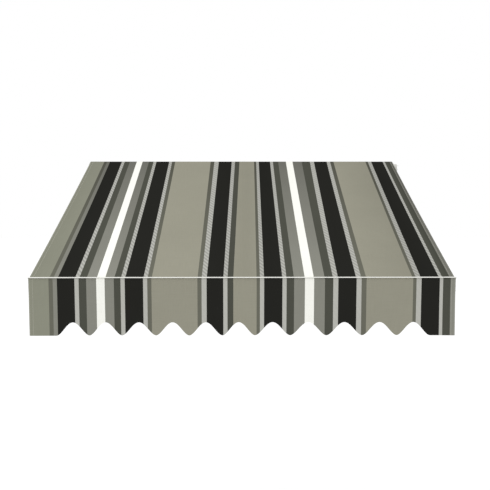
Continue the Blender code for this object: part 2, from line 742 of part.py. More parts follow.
def knuckle(name, forked, at, way, side, member):
    """A cast end of an arm member, with one lug or a fork of two at the pivot, and a spigot in the tube."""
    half = ARM_HEIGHT / 2
    piece = solid(name, plate(body_outline(at, way, side), -half, half, "Z"), member, CAST_WHITE)
    link = link_outline(at, way, side)
    lug = LUG_HEIGHT / 2
    if forked:
        inner = lug + GAP
        join(piece, plate(link, inner, half, "Z"), plate(link, -half, -inner, "Z"))
    else:
        join(piece, plate(link, -lug, lug, "Z"))
    inset = ARM_WALL + GAP
    start = at + way * (KNUCKLE_LENGTH - 0.002)
    size = (SPIGOT, ARM_WIDTH - 2 * inset, ARM_HEIGHT - 2 * inset)
    centre = (start + way * SPIGOT / 2, -side * ARM_OFFSET, 0)
    join(piece, box(size, centre))
    cut(piece, rod(PIN_RADIUS + GAP, 2 * ARM_HEIGHT, (at, 0, 0)))
    return piece


def arm_tube(name, side, member):
    """The hollow extrusion of an arm member, beside the line between its pivots."""
    start = KNUCKLE_LENGTH + GAP
    end = ARM_LENGTH - KNUCKLE_LENGTH - GAP
    centre = (-side * ARM_OFFSET, 0)
    outer = rounded_rectangle(centre, ARM_WIDTH, ARM_HEIGHT, ARM_CORNER, 3)
    inner = rounded_rectangle(centre, ARM_WIDTH - 2 * ARM_WALL, ARM_HEIGHT - 2 * ARM_WALL, GAP, 1)
    return solid(name, plate(outer, start, end, "X", [inner]), member, WHITE_PAINT)


def pin(name, grip, place, parent):
    """A pivot pin along Z with a flat head at each end, outside a grip of that height."""
    outside = grip / 2 + GAP
    profile = [
        (0, outside + PIN_HEAD),
        (PIN_HEAD_RADIUS - 0.001, outside + PIN_HEAD),
        (PIN_HEAD_RADIUS, outside + PIN_HEAD - 0.001),
        (PIN_HEAD_RADIUS, outside),
        (PIN_RADIUS, outside),
        (PIN_RADIUS, 0),
    ]
    profile += [(r, -z) for r, z in reversed(profile[:-1])]
    mesh = bpy.data.meshes.new(name)
    mesh.from_pydata([(r, 0, z) for r, z in profile], [(i, i + 1) for i in range(len(profile) - 1)], [])
    piece = solid(name, mesh, parent, ZINC)
    piece.location = place
    turn = piece.modifiers.new("Screw", "SCREW")
    turn.axis = "Z"
    turn.steps = turn.render_steps = ROUND
    turn.use_merge_vertices = True
    turn.merge_threshold = 0.0001
    return piece


def fork_outline(centre, root):
    """A fork's plate in (x, y): round at the pivot, and straight back to its root."""
    x, y = centre
    radius = LUG_RADIUS + 0.0005
    side = 1 if root > y else -1
    start = 180 if root > y else 0
    round_end = arc(centre, radius, start, start + 180, 12)
    return round_end + [(x + side * radius, root), (x - side * radius, root)]


def fork_levels():
    """The low and high faces of a fork's two plates, from the arm plane."""
    inner = LUG_HEIGHT / 2 + GAP
    return ((inner, inner + FORK_WALL), (-inner - FORK_WALL, -inner))


def shoulder_bracket(name, side, arm_frame):
    """A collar clamped on the torsion bar, with the fork that an arm turns in."""
    x = side * ARM_SPREAD
    half = collar_half()
    low, high = x - SHOULDER_WIDTH / 2, x + SHOULDER_WIDTH / 2
    collar = rounded_rectangle((-BAR_OUT, BAR_UP), 2 * half, 2 * half, 0.004, 2)
    piece = solid(name, plate(collar, low, high, "X"), arm_frame, CAST_WHITE)
    fork = LUG_HEIGHT / 2 + GAP + FORK_WALL
    web_front = SHOULDER_Y + ARM_OFFSET + ARM_WIDTH / 2 + 0.0025
    web_back = -BAR_OUT - half + 0.002
    web = (0.048, web_back - web_front, 2 * fork)
    join(piece, box(web, (x, (web_back + web_front) / 2, ARM_Z)))
    outline = fork_outline((x, SHOULDER_Y), web_front + 0.004)
    for low, high in fork_levels():
        join(piece, plate(outline, ARM_Z + low, ARM_Z + high, "Z"))
    square = BAR_SIDE + 2 * GAP
    cut(
        piece,
        box((0.2, square, square), (x, -BAR_OUT, BAR_UP)),
        rod(PIN_RADIUS + GAP, 0.1, (x, SHOULDER_Y, ARM_Z)),
        clamp_hole(x),
    )
    return piece


def folding_arm(name, side, arm_frame):
    """Both members of one arm, with their knuckles, pins and the spring in the outer member."""
    shoulder = Vector((side * ARM_SPREAD, SHOULDER_Y, ARM_Z))
    inward = -side * math.sin(OPEN_ANGLE)
    out = -math.cos(OPEN_ANGLE)
    elbow = shoulder + ARM_LENGTH * Vector((inward, out, 0))
    heading = math.atan2(out, inward)
    upper = axes(f"upper_arm_{name}_axes", shoulder, (0, 0, heading), arm_frame)
    fore = axes(f"forearm_{name}_axes", elbow, (0, 0, math.atan2(out, -inward)), arm_frame)
    knuckle(f"shoulder_knuckle_{name}", False, 0, 1, side, upper)
    arm_tube(f"upper_arm_{name}", side, upper)
    knuckle(f"elbow_fork_{name}", True, ARM_LENGTH, -1, side, upper)
    pin(f"elbow_pin_{name}", ARM_HEIGHT, (ARM_LENGTH, 0, 0), upper)
    knuckle(f"elbow_knuckle_{name}", False, 0, 1, side, fore)
    arm_tube(f"forearm_{name}", side, fore)
    wrist = knuckle(f"wrist_knuckle_{name}", False, ARM_LENGTH, -1, side, fore)
    spigot_end = ARM_LENGTH - KNUCKLE_LENGTH - SPIGOT + 0.002
    post = 0.030
    offset = -side * ARM_OFFSET
    hook = rod(SPRING_RADIUS - SPRING_WIRE - GAP, 2 * post, (spigot_end, offset, 0), (1, 0, 0), 16)
    join(wrist, hook)
    coil = rod(SPRING_RADIUS, SPRING_LENGTH, (spigot_end - GAP - SPRING_LENGTH / 2, offset, 0), (1, 0, 0), 16)
    spring = solid(f"arm_spring_{name}", coil, fore, SPRING_STEEL)
    inside = SPRING_RADIUS - SPRING_WIRE
    cut(spring, rod(inside, SPRING_LENGTH + 0.02, (spigot_end - SPRING_LENGTH / 2, offset, 0), (1, 0, 0), 16))


# Front bar


def cover_slope():
    """The cover's angle below the horizontal, from the front bar's groove to the top of the roller."""
    y, z = upright(ROLLER_CENTRE)
    gy, gz = cover_groove_centre()
    reach = math.hypot(y - gy, z - gz)
    return math.atan2(z - gz, y - gy) + math.asin(COVER_RADIUS / reach)


def upright(point):
    """A (y, z) point of the arm frame, in upright axes about the origin."""
    y, z = point
    turned_y = y * math.cos(ARM_PITCH) - z * math.sin(ARM_PITCH)
    turned_z = y * math.sin(ARM_PITCH) + z * math.cos(ARM_PITCH)
    return turned_y - TILT_AXIS_OUT, turned_z - TILT_AXIS_DROP


def front_bar_origin():
    """The front bar's own axes, as (y, z) in upright axes."""
    y, z = upright((SHOULDER_Y - REACH, ARM_Z))
    return y - WRIST_BACK, z - WRIST_UP


def cover_groove_centre():
    """The middle of the cover's groove, as (y, z) in upright axes."""
    y, z = front_bar_origin()
    return y + COVER_GROOVE[0], z + COVER_GROOVE[1]


def front_bar_outline():
    """The front bar's section in (y, z): a box with a lip on top and a keder groove on each side of it."""
    slope = math.degrees(cover_slope())
    gy, gz = COVER_GROOVE
    radius = COVER_GROOVE_RADIUS
    floor = math.degrees(math.asin((FRONT_BAR_SHELF - gz) / radius))
    above = math.degrees(math.asin(GROOVE_SLOT / 2 / radius)) + slope
    lip_start = arc(COVER_GROOVE, radius, above, above, 1)[0]
    lip_edge = lip_start[1] + (LIP_BACK - lip_start[0]) * math.tan(math.radians(slope))
    vz = VALANCE_GROOVE_UP
    side = math.degrees(math.asin(GROOVE_SLOT / 2 / VALANCE_GROOVE_RADIUS))
    outline = [
        (FRONT_BAR_FACE, FRONT_BAR_BOTTOM),
        (FRONT_BAR_REAR, FRONT_BAR_BOTTOM),
        (FRONT_BAR_REAR, FRONT_BAR_SHELF),
    ]
    outline += arc(COVER_GROOVE, radius, floor, above - 360, 14)
    outline += [(LIP_BACK, lip_edge), (LIP_BACK, FRONT_BAR_TOP)]
    corner = (LIP_FRONT + LIP_ROUND, FRONT_BAR_TOP - LIP_ROUND)
    outline += arc(corner, LIP_ROUND, 90, 180, 4)
    outline.append((LIP_FRONT, FRONT_BAR_TOP - LIP_TIP))
    outline += arc(VALANCE_GROOVE, VALANCE_GROOVE_RADIUS, 180 - side, -180 + side, 12)
    outline.append((VALANCE_SEAT, vz - GROOVE_SLOT / 2))
    outline += [(VALANCE_SEAT, LIP_BOTTOM), (FRONT_BAR_FACE, LIP_BOTTOM)]
    return outline


def front_bar(bar_frame):
    """The aluminium front bar and the caps on its ends."""
    wall = FRONT_BAR_WALL
    low, high = FRONT_BAR_BOTTOM + wall, FRONT_BAR_SHELF - 0.0065
    centre = ((FRONT_BAR_FACE + FRONT_BAR_REAR) / 2, (low + high) / 2)
    hollow = rounded_rectangle(centre, FRONT_BAR_DEPTH - 2 * wall, high - low, 0.002, 2)
    section = plate(front_bar_outline(), -HALF_FABRIC, HALF_FABRIC, "X", [hollow])
    solid("front_bar", section, bar_frame, WHITE_PAINT)
    cap_outline = [
        (FRONT_BAR_FACE, FRONT_BAR_BOTTOM),
        (FRONT_BAR_REAR, FRONT_BAR_BOTTOM),
        (FRONT_BAR_REAR, FRONT_BAR_SHELF),
        (LIP_BACK, FRONT_BAR_SHELF),
        (LIP_BACK, FRONT_BAR_TOP),
        (LIP_FRONT, FRONT_BAR_TOP),
        (LIP_FRONT, FRONT_BAR_TOP - LIP_TIP),
        (VALANCE_SEAT, VALANCE_GROOVE_UP + GROOVE_SLOT / 2),
        (VALANCE_SEAT, LIP_BOTTOM),
        (FRONT_BAR_FACE, LIP_BOTTOM),
    ]
    plug = rounded_rectangle(
        centre, FRONT_BAR_DEPTH - 2 * wall - 2 * GAP, high - low - 2 * GAP, 0.002, 2
    )
    for name, side in SIDES.items():
        near, far = side * (HALF_FABRIC + GAP), side * (HALF_FABRIC + GAP + FRONT_CAP)
        cap = solid(f"front_bar_cap_{name}", plate(cap_outline, *sorted((near, far)), "X"), bar_frame, GREY_PLASTIC)
        deep = side * (HALF_FABRIC - 0.020)
        join(cap, plate(plug, *sorted((deep, side * (HALF_FABRIC + GAP + 0.001))), "X"))


def bar_bracket(name, side, bar_frame):
    """A flange on the back of the front bar, with the fork that holds an arm's wrist."""
    x = side * ARM_SPREAD
    back = FRONT_BAR_REAR + GAP
    low, high = FRONT_BAR_BOTTOM + 0.006, FRONT_BAR_SHELF - 0.009
    size = (FLANGE_WIDTH, FLANGE_THICKNESS, high - low)
    flange = box(size, (x, back + FLANGE_THICKNESS / 2, (low + high) / 2))
    piece = solid(f"bar_bracket_{name}", flange, bar_frame, CAST_WHITE)
    tilt = Matrix.Translation((0, WRIST_BACK, WRIST_UP)) @ Matrix.Rotation(ARM_PITCH, 4, "X")
    for level_low, level_high in fork_levels():
        ear = plate(fork_outline((x, 0), -WRIST_BACK), level_low, level_high, "Z")
        ear.transform(tilt)
        join(piece, ear)
    fork = LUG_HEIGHT / 2 + GAP + FORK_WALL
    reach = ARM_OFFSET + ARM_WIDTH / 2 + 0.0035
    web = box((2 * LUG_RADIUS + 0.001, WRIST_BACK, 2 * fork), (x, -reach - WRIST_BACK / 2, 0))
    web.transform(tilt)
    join(piece, web)
    hole = rod(PIN_RADIUS + GAP, 0.1, (x, 0, 0))
    hole.transform(tilt)
    beyond = box((0.2, 0.2, 0.3), (x, back - 0.1, 0))
    cut(piece, beyond, hole)
    return piece


# Cloth


def cover_outline(arm_frame_point):
    """The cover's section in (y, z) of upright axes: round the back of the roll, down the slope, and its keder."""
    slope = cover_slope()
    ry, rz = arm_frame_point
    gy, gz = cover_groove_centre()
    over = math.degrees(slope) + 90
    wrap = 100
    half = FABRIC / 2
    outer = arc((ry, rz), COVER_RADIUS + half, over - wrap, over, 12)
    inner = arc((ry, rz), COVER_RADIUS - half, over, over - wrap, 12)
    spread = math.degrees(math.asin(half / KEDER_RADIUS))
    away = math.degrees(slope)
    bead = arc((gy, gz), KEDER_RADIUS, away + spread, away + 360 - spread, 12)
    return outer + bead + inner


def valance_outline():
    """The hanging part of the valance in (x, z): straight ends, and round-topped waves between them."""
    low = FRONT_BAR_TOP - VALANCE_DROP
    stretch = FABRIC_WIDTH / (LEFT_STRAIGHT + sum(WAVE_WIDTHS) + RIGHT_STRAIGHT)
    start = -HALF_FABRIC + stretch * LEFT_STRAIGHT
    edge = [(-HALF_FABRIC, low)]
    steps = 10
    for width in (stretch * unstretched for unstretched in WAVE_WIDTHS):
        for i in range(steps):
            rise = WAVE_HEIGHT * math.sin(math.pi * i / steps) ** WAVE_SHARPNESS
            edge.append((start + width * i / steps, low + rise))
        start += width
    edge += [(start, low), (HALF_FABRIC, low)]
    top = VALANCE_GROOVE_UP + 0.8 * FABRIC
    return edge + [(HALF_FABRIC, top), (-HALF_FABRIC, top)]


def cloth(bar_frame, world):
    """The cover on the slope and the valance below the front bar."""
    outline = cover_outline(upright(ROLLER_CENTRE))
    solid("cover", plate(outline, -HALF_FABRIC, HALF_FABRIC, "X"), world, CLOTH)
    vz = VALANCE_GROOVE_UP
    hang = VALANCE_SEAT - VALANCE_STAND
    sheet = plate(valance_outline(), hang - FABRIC / 2, hang + FABRIC / 2, "Y")
    valance = solid("valance", sheet, bar_frame, CLOTH)
    spread = math.degrees(math.asin(FABRIC / 2 / KEDER_RADIUS))
    bead = arc(VALANCE_GROOVE, KEDER_RADIUS, 180 - spread, -180 + spread, 12)
    neck = [(hang, vz - FABRIC / 2), (hang, vz + FABRIC / 2)]
    join(valance, plate(bead + neck, -HALF_FABRIC + GAP, HALF_FABRIC - GAP, "X"))
    valance.modifiers[-1].solver = "MANIFOLD"  # the waves' tops lie in one line, where EXACT leaves slits


def build_awning():
    """Every piece, in the order that it would be put up."""
    world = axes("wall_axes", (0, 0, 0))
    tilt_axis = (0, -TILT_AXIS_OUT, -TILT_AXIS_DROP)
    arm_frame = axes("arm_frame", tilt_axis, (ARM_PITCH, 0, 0))
    grip = SHOE_WIDTH + 0.001 + 2 * EAR_THICKNESS
    for name, x in (("left", -BRACKET_SPREAD), ("middle", 0.0), ("right", BRACKET_SPREAD)):
        wall_bracket(f"wall_bracket_{name}", x)
        tilt_shoe(f"tilt_shoe_{name}", x, arm_frame)
        bolt(f"tilt_bolt_{name}", TILT_BOLT_RADIUS, (x, *tilt_axis[1:]), grip, world)
        place = (x, LOCK_BOLT_BACK, LOCK_BOLT_UP)
        bolt(f"lock_bolt_{name}", LOCK_BOLT_RADIUS, place, grip, arm_frame)
        clamp_screw(f"shoe_screw_{name}", x, arm_frame)
    ends = (-PLATE_OUTER, PLATE_OUTER)
    square_tube("torsion_bar", BAR_SIDE, BAR_WALL, *ends, (-BAR_OUT, BAR_UP), arm_frame, WHITE_PAINT)
    roller(arm_frame)
    worm_wheel(arm_frame)
    crank_worm(arm_frame)
    gear_housing(arm_frame)
    bar_frame = axes("front_bar_axes", (0, *front_bar_origin()))
    front_bar(bar_frame)
    fork = LUG_HEIGHT + 2 * GAP + 2 * FORK_WALL
    for name, side in SIDES.items():
        bar_end_cap(name, side, arm_frame)
        side_plate(name, side, arm_frame)
        shoulder_bracket(f"shoulder_bracket_{name}", side, arm_frame)
        clamp_screw(f"shoulder_screw_{name}", side * ARM_SPREAD, arm_frame)
        pin(f"shoulder_pin_{name}", fork, (side * ARM_SPREAD, SHOULDER_Y, ARM_Z), arm_frame)
        folding_arm(name, side, arm_frame)
        bar_bracket(name, side, bar_frame)
        wrist = (side * ARM_SPREAD, SHOULDER_Y - REACH, ARM_Z)
        pin(f"wrist_pin_{name}", fork, wrist, arm_frame)
    cloth(bar_frame, world)


def bar_end_cap(name, side, arm_frame):
    """A plastic cap in the torsion bar's end."""
    half = PLATE_OUTER
    centre = (-BAR_OUT, BAR_UP)
    outer = rounded_rectangle(centre, BAR_SIDE, BAR_SIDE, 2 * BAR_WALL, 3)
    inside = BAR_SIDE - 2 * BAR_WALL - 2 * GAP
    plug = rounded_rectangle(centre, inside, inside, BAR_WALL, 2)
    near, far = side * (half + GAP), side * (half + GAP + BAR_CAP)
    cap = solid(f"torsion_bar_cap_{name}", plate(outer, *sorted((near, far)), "X"), arm_frame, GREY_PLASTIC)
    deep = side * (half - 0.018)
    join(cap, plate(plug, *sorted((deep, side * (half + GAP + 0.001))), "X"))


build_awning()
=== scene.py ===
"""The looks of a striped folding-arm awning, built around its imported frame.

Units are metres and +Z is up. The wall is the plane y = 0 and the awning stands out towards -Y.
The cloth is made here: the cover on the slope, the turns that stay on the roller, and the valance.
The metal and plastic pieces keep the frame's shape, get rounded edges, and take their finish here.
"""

import json
import logging
import math
from dataclasses import dataclass, field
from enum import Enum
from typing import Any

import bmesh
import bpy
import numpy as np
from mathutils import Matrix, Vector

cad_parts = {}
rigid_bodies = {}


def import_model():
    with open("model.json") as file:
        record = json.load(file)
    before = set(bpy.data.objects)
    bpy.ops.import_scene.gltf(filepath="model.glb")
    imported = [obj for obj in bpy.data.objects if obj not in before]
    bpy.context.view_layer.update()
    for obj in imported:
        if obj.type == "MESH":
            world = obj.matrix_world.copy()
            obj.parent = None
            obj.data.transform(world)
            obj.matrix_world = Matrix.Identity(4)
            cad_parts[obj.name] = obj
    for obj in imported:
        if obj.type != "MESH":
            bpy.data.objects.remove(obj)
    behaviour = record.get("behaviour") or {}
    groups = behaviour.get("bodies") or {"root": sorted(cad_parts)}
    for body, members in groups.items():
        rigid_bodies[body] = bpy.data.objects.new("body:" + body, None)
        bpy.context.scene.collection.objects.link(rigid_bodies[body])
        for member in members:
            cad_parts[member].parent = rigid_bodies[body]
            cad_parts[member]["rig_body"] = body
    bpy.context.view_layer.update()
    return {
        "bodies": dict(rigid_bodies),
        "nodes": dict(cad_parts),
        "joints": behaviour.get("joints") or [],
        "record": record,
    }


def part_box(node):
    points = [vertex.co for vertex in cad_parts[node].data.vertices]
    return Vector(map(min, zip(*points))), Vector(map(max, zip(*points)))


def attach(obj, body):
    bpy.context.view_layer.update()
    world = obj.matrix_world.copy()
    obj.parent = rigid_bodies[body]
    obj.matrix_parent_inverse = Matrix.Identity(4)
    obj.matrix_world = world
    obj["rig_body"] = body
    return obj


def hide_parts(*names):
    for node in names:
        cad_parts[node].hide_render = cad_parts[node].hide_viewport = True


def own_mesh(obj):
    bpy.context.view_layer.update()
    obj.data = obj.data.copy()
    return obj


Socket = bpy.types.NodeSocket
Piece = bpy.types.Object
Pair = tuple[float, float]
Triple = tuple[float, float, float]
Tint = tuple[int, int, int]

LOG = logging.getLogger("awning")
MM = 0.001
SHARP_FROM = math.radians(38)
THINNEST = 0.05 * MM
DUST = (178, 170, 152)
DUST_ON_PLASTIC = (170, 163, 147)
PAINTED_PIT_SHADE = (120, 118, 110)
THREAD = (196, 194, 182)
FULL_WHITE = (1.0, 1.0, 1.0, 1.0)


# Nodes and effects


def linear(rgb: Tint) -> tuple[float, float, float, float]:
    """Turns a colour on the 0 to 255 screen scale into the shader's linear scale.

    Args:
        rgb: red, green and blue, from 0 to 255.

    Returns:
        Linear red, green and blue, and an alpha of 1.
    """
    share = np.array(rgb, float) / 255.0
    low = share / 12.92
    high = ((share + 0.055) / 1.055) ** 2.4
    red, green, blue = np.where(share <= 0.04045, low, high)
    return float(red), float(green), float(blue), 1.0


class NodeKit:
    """Adds shader nodes to one tree, fills their inputs and joins them."""

    def __init__(self, tree: bpy.types.NodeTree) -> None:
        """Keeps the tree that the nodes go into."""
        self.tree = tree

    def add(self, kind: str, inputs: dict | None = None, **settings: Any) -> bpy.types.Node:
        """Adds one node.

        Args:
            kind: the node's type name.
            inputs: a socket or a constant for each input, by name or number.
            **settings: the node's own settings.

        Returns:
            The new node.
        """
        node = self.tree.nodes.new(kind)
        for key, value in settings.items():
            setattr(node, key, value)
        for key, value in (inputs or {}).items():
            self.feed(node.inputs[key], value)
        return node

    def feed(self, target: Socket, value: Any) -> None:
        """Links a socket to the target, or sets the target's own constant."""
        if isinstance(value, Socket):
            self.tree.links.new(value, target)
        else:
            target.default_value = value

    def maths(self, operation: str, *values: Any) -> Socket:
        """Adds a Math node over sockets or constants and returns its result."""
        return self.add("ShaderNodeMath", dict(enumerate(values)), operation=operation).outputs[0]

    def ranged(self, value: Any, low: float, high: float, start: Any, end: Any) -> Socket:
        """Maps a value from low..high to start..end, held at both ends, and returns the result."""
        inputs = {0: value, 1: low, 2: high, 3: start, 4: end}
        return self.add("ShaderNodeMapRange", inputs).outputs[0]

    def blend(self, share: Any, first: Any, second: Any, mode: str = "MIX") -> Socket:
        """Mixes two colours and returns the result; share 0 keeps the first."""
        inputs = {0: share, 6: first, 7: second}
        node = self.add("ShaderNodeMix", inputs, data_type="RGBA", blend_type=mode)
        return node.outputs[2]

    def scaled(self, vector: Any, scale: Triple) -> Socket:
        """Stretches a position by a factor on each axis and returns the result."""
        return self.add("ShaderNodeMapping", {"Vector": vector, "Scale": scale}).outputs[0]

    def tinted(self, colour: Any, tone: Any) -> Socket:
        """Multiplies a colour by a grey tone and returns the result."""
        grey = self.add("ShaderNodeCombineColor", {0: tone, 1: tone, 2: tone}).outputs[0]
        return self.blend(1.0, colour, grey, "MULTIPLY")

    def noise(self, place: Any, scale: Any, detail: float, roughness: float = 0.5) -> Socket:
        """Adds a Noise Texture node and returns its value."""
        inputs = {"Vector": place, "Scale": scale, "Detail": detail, "Roughness": roughness}
        return self.add("ShaderNodeTexNoise", inputs).outputs[0]

    def bump(self, height: Any, strength: float, distance: float) -> Socket:
        """Adds a Bump node and returns its normal."""
        inputs = {"Height": height, "Strength": strength, "Distance": distance}
        return self.add("ShaderNodeBump", inputs).outputs[0]

    def seen_directly(self) -> Socket:
        """Returns 1 for rays of the camera, of gloss and through glass, and 0 for the rest."""
        ray = self.add("ShaderNodeLightPath").outputs
        gloss = self.maths("MAXIMUM", ray["Is Glossy Ray"], ray["Is Transmission Ray"])
        return self.maths("MAXIMUM", ray["Is Camera Ray"], gloss)


class Effect:
    """A shader node group that several finishes share, built once.

    A subclass names its inputs and outputs as socket types and wires them in its wire method.
    """

    name = ""
    inputs: dict[str, str] = {}
    outputs: dict[str, str] = {}

    def wire(self, kit: NodeKit, given: Any, result: Any) -> None:
        """Joins the group's inputs to its outputs."""
        raise NotImplementedError

    def tree(self) -> bpy.types.NodeTree:
        """Returns the group's tree, which is built the first time."""
        found = bpy.data.node_groups.get(self.name)
        if found is not None:
            return found
        tree = bpy.data.node_groups.new(self.name, "ShaderNodeTree")
        for direction, sockets in (("INPUT", self.inputs), ("OUTPUT", self.outputs)):
            for name, kind in sockets.items():
                socket = f"NodeSocket{kind}"
                tree.interface.new_socket(name=name, in_out=direction, socket_type=socket)
        kit = NodeKit(tree)
        self.wire(kit, kit.add("NodeGroupInput").outputs, kit.add("NodeGroupOutput").inputs)
        return tree

    def place(self, kit: NodeKit, values: dict[str, Any]) -> Any:
        """Places the group in a tree with its own values, and returns its outputs."""
        node = kit.add("ShaderNodeGroup", node_tree=self.tree())
        for name, value in values.items():
            kit.feed(node.inputs[name], value)
        return node.outputs


class Mottle(Effect):
    """A soft unevenness of tone: noise about 1, as far as Depth to each side."""

    name = "mottle"
    inputs = {"Position": "Vector", "Scale": "Float", "Depth": "Float"}
    outputs = {"Tone": "Float"}

    def wire(self, kit: NodeKit, given: Any, result: Any) -> None:
        """Tone is 1 plus Depth times noise, with the noise from -1 to 1."""
        noise = kit.noise(given["Position"], given["Scale"], 3.0, 0.55)
        swing = kit.ranged(noise, 0.3, 0.7, -1.0, 1.0)
        kit.feed(result["Tone"], kit.maths("MULTIPLY_ADD", swing, given["Depth"], 1.0))


class Peel(Effect):
    """The small hills of a powder coat or a cast skin, as a height and a mask of pits."""

    name = "peel"
    inputs = {"Position": "Vector", "Scale": "Float"}
    outputs = {"Height": "Float", "Pits": "Float"}

    def wire(self, kit: NodeKit, given: Any, result: Any) -> None:
        """Height is a noise plus a share of one three times finer; pits are its lowest places."""
        coarse = kit.noise(given["Position"], given["Scale"], 1.0, 0.4)
        fine = kit.noise(given["Position"], kit.maths("MULTIPLY", given["Scale"], 3.1), 0.0)
        kit.feed(result["Height"], kit.maths("MULTIPLY_ADD", fine, 0.35, coarse))
        kit.feed(result["Pits"], kit.ranged(coarse, 0.36, 0.28, 0.0, 1.0))


class SettledDust(Effect):
    """A film of dust that lies thicker on faces that look up."""

    name = "settled_dust"
    inputs = {"Position": "Vector", "Amount": "Float"}
    outputs = {"Mask": "Float"}

    def wire(self, kit: NodeKit, given: Any, result: Any) -> None:
        """Mask is Amount times the upward share of the face, broken up by a cloudy noise."""
        normal = kit.add("ShaderNodeNewGeometry").outputs["Normal"]
        upward = kit.add("ShaderNodeSeparateXYZ", {0: normal}).outputs[2]
        lying = kit.ranged(upward, 0.15, 0.95, 0.15, 1.0)
        broken = kit.ranged(kit.noise(given["Position"], 14.0, 4.0, 0.6), 0.35, 0.7, 0.3, 1.0)
        film = kit.maths("MULTIPLY", lying, broken)
        kit.feed(result["Mask"], kit.maths("MULTIPLY", film, given["Amount"]))


class DrawnLines(Effect):
    """Fine lines along X, as drawing, turning or polishing leaves on metal."""

    name = "drawn_lines"
    inputs = {"Position": "Vector", "Scale": "Float"}
    outputs = {"Line": "Float"}

    def wire(self, kit: NodeKit, given: Any, result: Any) -> None:
        """Line is a noise stretched sixty times along X, from 0 to 1."""
        stretched = kit.scaled(given["Position"], (1.0, 60.0, 60.0))
        noise = kit.noise(stretched, given["Scale"], 2.0, 0.6)
        kit.feed(result["Line"], kit.ranged(noise, 0.3, 0.7, 0.0, 1.0))


# The cloth's stripes


class Yarn(Enum):
    """The colours of yarn in the cloth, on the 0 to 255 screen scale."""

    BEIGE = (154, 152, 137)
    STONE = (144, 145, 130)
    OLIVE = (109, 109, 98)
    LIGHT = (188, 188, 181)
    BLACK = (39, 39, 36)
    DARK = (80, 81, 73)
    MID = (140, 140, 131)
    WHITE = (254, 254, 247)


LEFT_CLOTH = (
    (Yarn.STONE, 108.2),
    (Yarn.OLIVE, 27.2),
    (Yarn.MID, 23.3),
    (Yarn.BLACK, 96.5),
    (Yarn.LIGHT, 21.9),
    (Yarn.DARK, 44.3),
    (Yarn.MID, 55.2),
    (Yarn.WHITE, 46.7),
    (Yarn.MID, 50.5),
    (Yarn.DARK, 40.1),
    (Yarn.LIGHT, 23.3),
    (Yarn.BLACK, 100.7),
    (Yarn.LIGHT, 24.2),
    (Yarn.OLIVE, 23.1),
    (Yarn.BEIGE, 259.6),
    (Yarn.OLIVE, 24.5),
    (Yarn.LIGHT, 24.5),
    (Yarn.BLACK, 96.0),
    (Yarn.LIGHT, 24.0),
    (Yarn.DARK, 32.9),
    (Yarn.BEIGE, 53.3),
)
RIGHT_CLOTH = (
    (Yarn.BEIGE, 75.9),
    (Yarn.OLIVE, 20.7),
    (Yarn.LIGHT, 24.2),
    (Yarn.BLACK, 102.8),
    (Yarn.LIGHT, 22.0),
    (Yarn.DARK, 44.6),
    (Yarn.MID, 56.9),
    (Yarn.WHITE, 55.7),
    (Yarn.MID, 59.7),
    (Yarn.DARK, 48.2),
    (Yarn.LIGHT, 27.7),
    (Yarn.BLACK, 102.6),
    (Yarn.LIGHT, 27.9),
    (Yarn.OLIVE, 27.9),
    (Yarn.BEIGE, 259.9),
    (Yarn.OLIVE, 22.4),
    (Yarn.LIGHT, 28.5),
    (Yarn.BLACK, 99.6),
    (Yarn.LIGHT, 22.1),
    (Yarn.DARK, 42.1),
    (Yarn.MID, 28.6),
)


class StripePlan(Effect):
    """The stripes of two cloths of 1.2 m that meet at the seam in the middle.

    Across is the distance in metres from the seam. Each cloth is a row of bands of one yarn. Kept
    is 1 on the yarns that take little painted shade towards the roll, and 0 on those that take
    more.
    """

    name = "stripe_plan"
    inputs = {"Across": "Float"}
    outputs = {"Colour": "Color", "Kept": "Float"}
    cloth_width = 1.2
    shaded_towards_roll = (Yarn.MID, Yarn.OLIVE)

    def bands(self, kit: NodeKit, share: Any, plan: tuple[tuple[Yarn, float], ...]) -> Any:
        """Adds a stepped ramp with one step for each band.

        Args:
            kit: the group's nodes.
            share: the place across the cloth, from 0 at its left edge to 1.
            plan: each band's yarn and its width in millimetres.

        Returns:
            The colour at that place, and whether its yarn keeps its tone.
        """
        ramp = kit.add("ShaderNodeValToRGB", {0: share})
        ramp.color_ramp.interpolation = "CONSTANT"
        steps = ramp.color_ramp.elements
        starts = np.cumsum([0.0] + [width for _, width in plan])
        for (yarn, _), start in zip(plan, starts[:-1] / starts[-1]):
            step = steps[0] if start == 0.0 else steps.new(start)
            step.color = (*linear(yarn.value)[:3], float(yarn not in self.shaded_towards_roll))
        steps.remove(steps[-1])
        return ramp.outputs

    def wire(self, kit: NodeKit, given: Any, result: Any) -> None:
        """Reads the left plan where Across is negative, and the right one elsewhere."""
        across = given["Across"]
        left = kit.maths("MULTIPLY_ADD", across, 1 / self.cloth_width, 1.0)
        right = kit.maths("MULTIPLY", across, 1 / self.cloth_width)
        is_right = kit.maths("GREATER_THAN", across, 0.0)
        left_cloth = self.bands(kit, left, LEFT_CLOTH)
        right_cloth = self.bands(kit, right, RIGHT_CLOTH)
        kit.feed(result["Colour"], kit.blend(is_right, left_cloth[0], right_cloth[0]))
        kit.feed(result["Kept"], kit.ranged(is_right, 0.0, 1.0, left_cloth[1], right_cloth[1]))


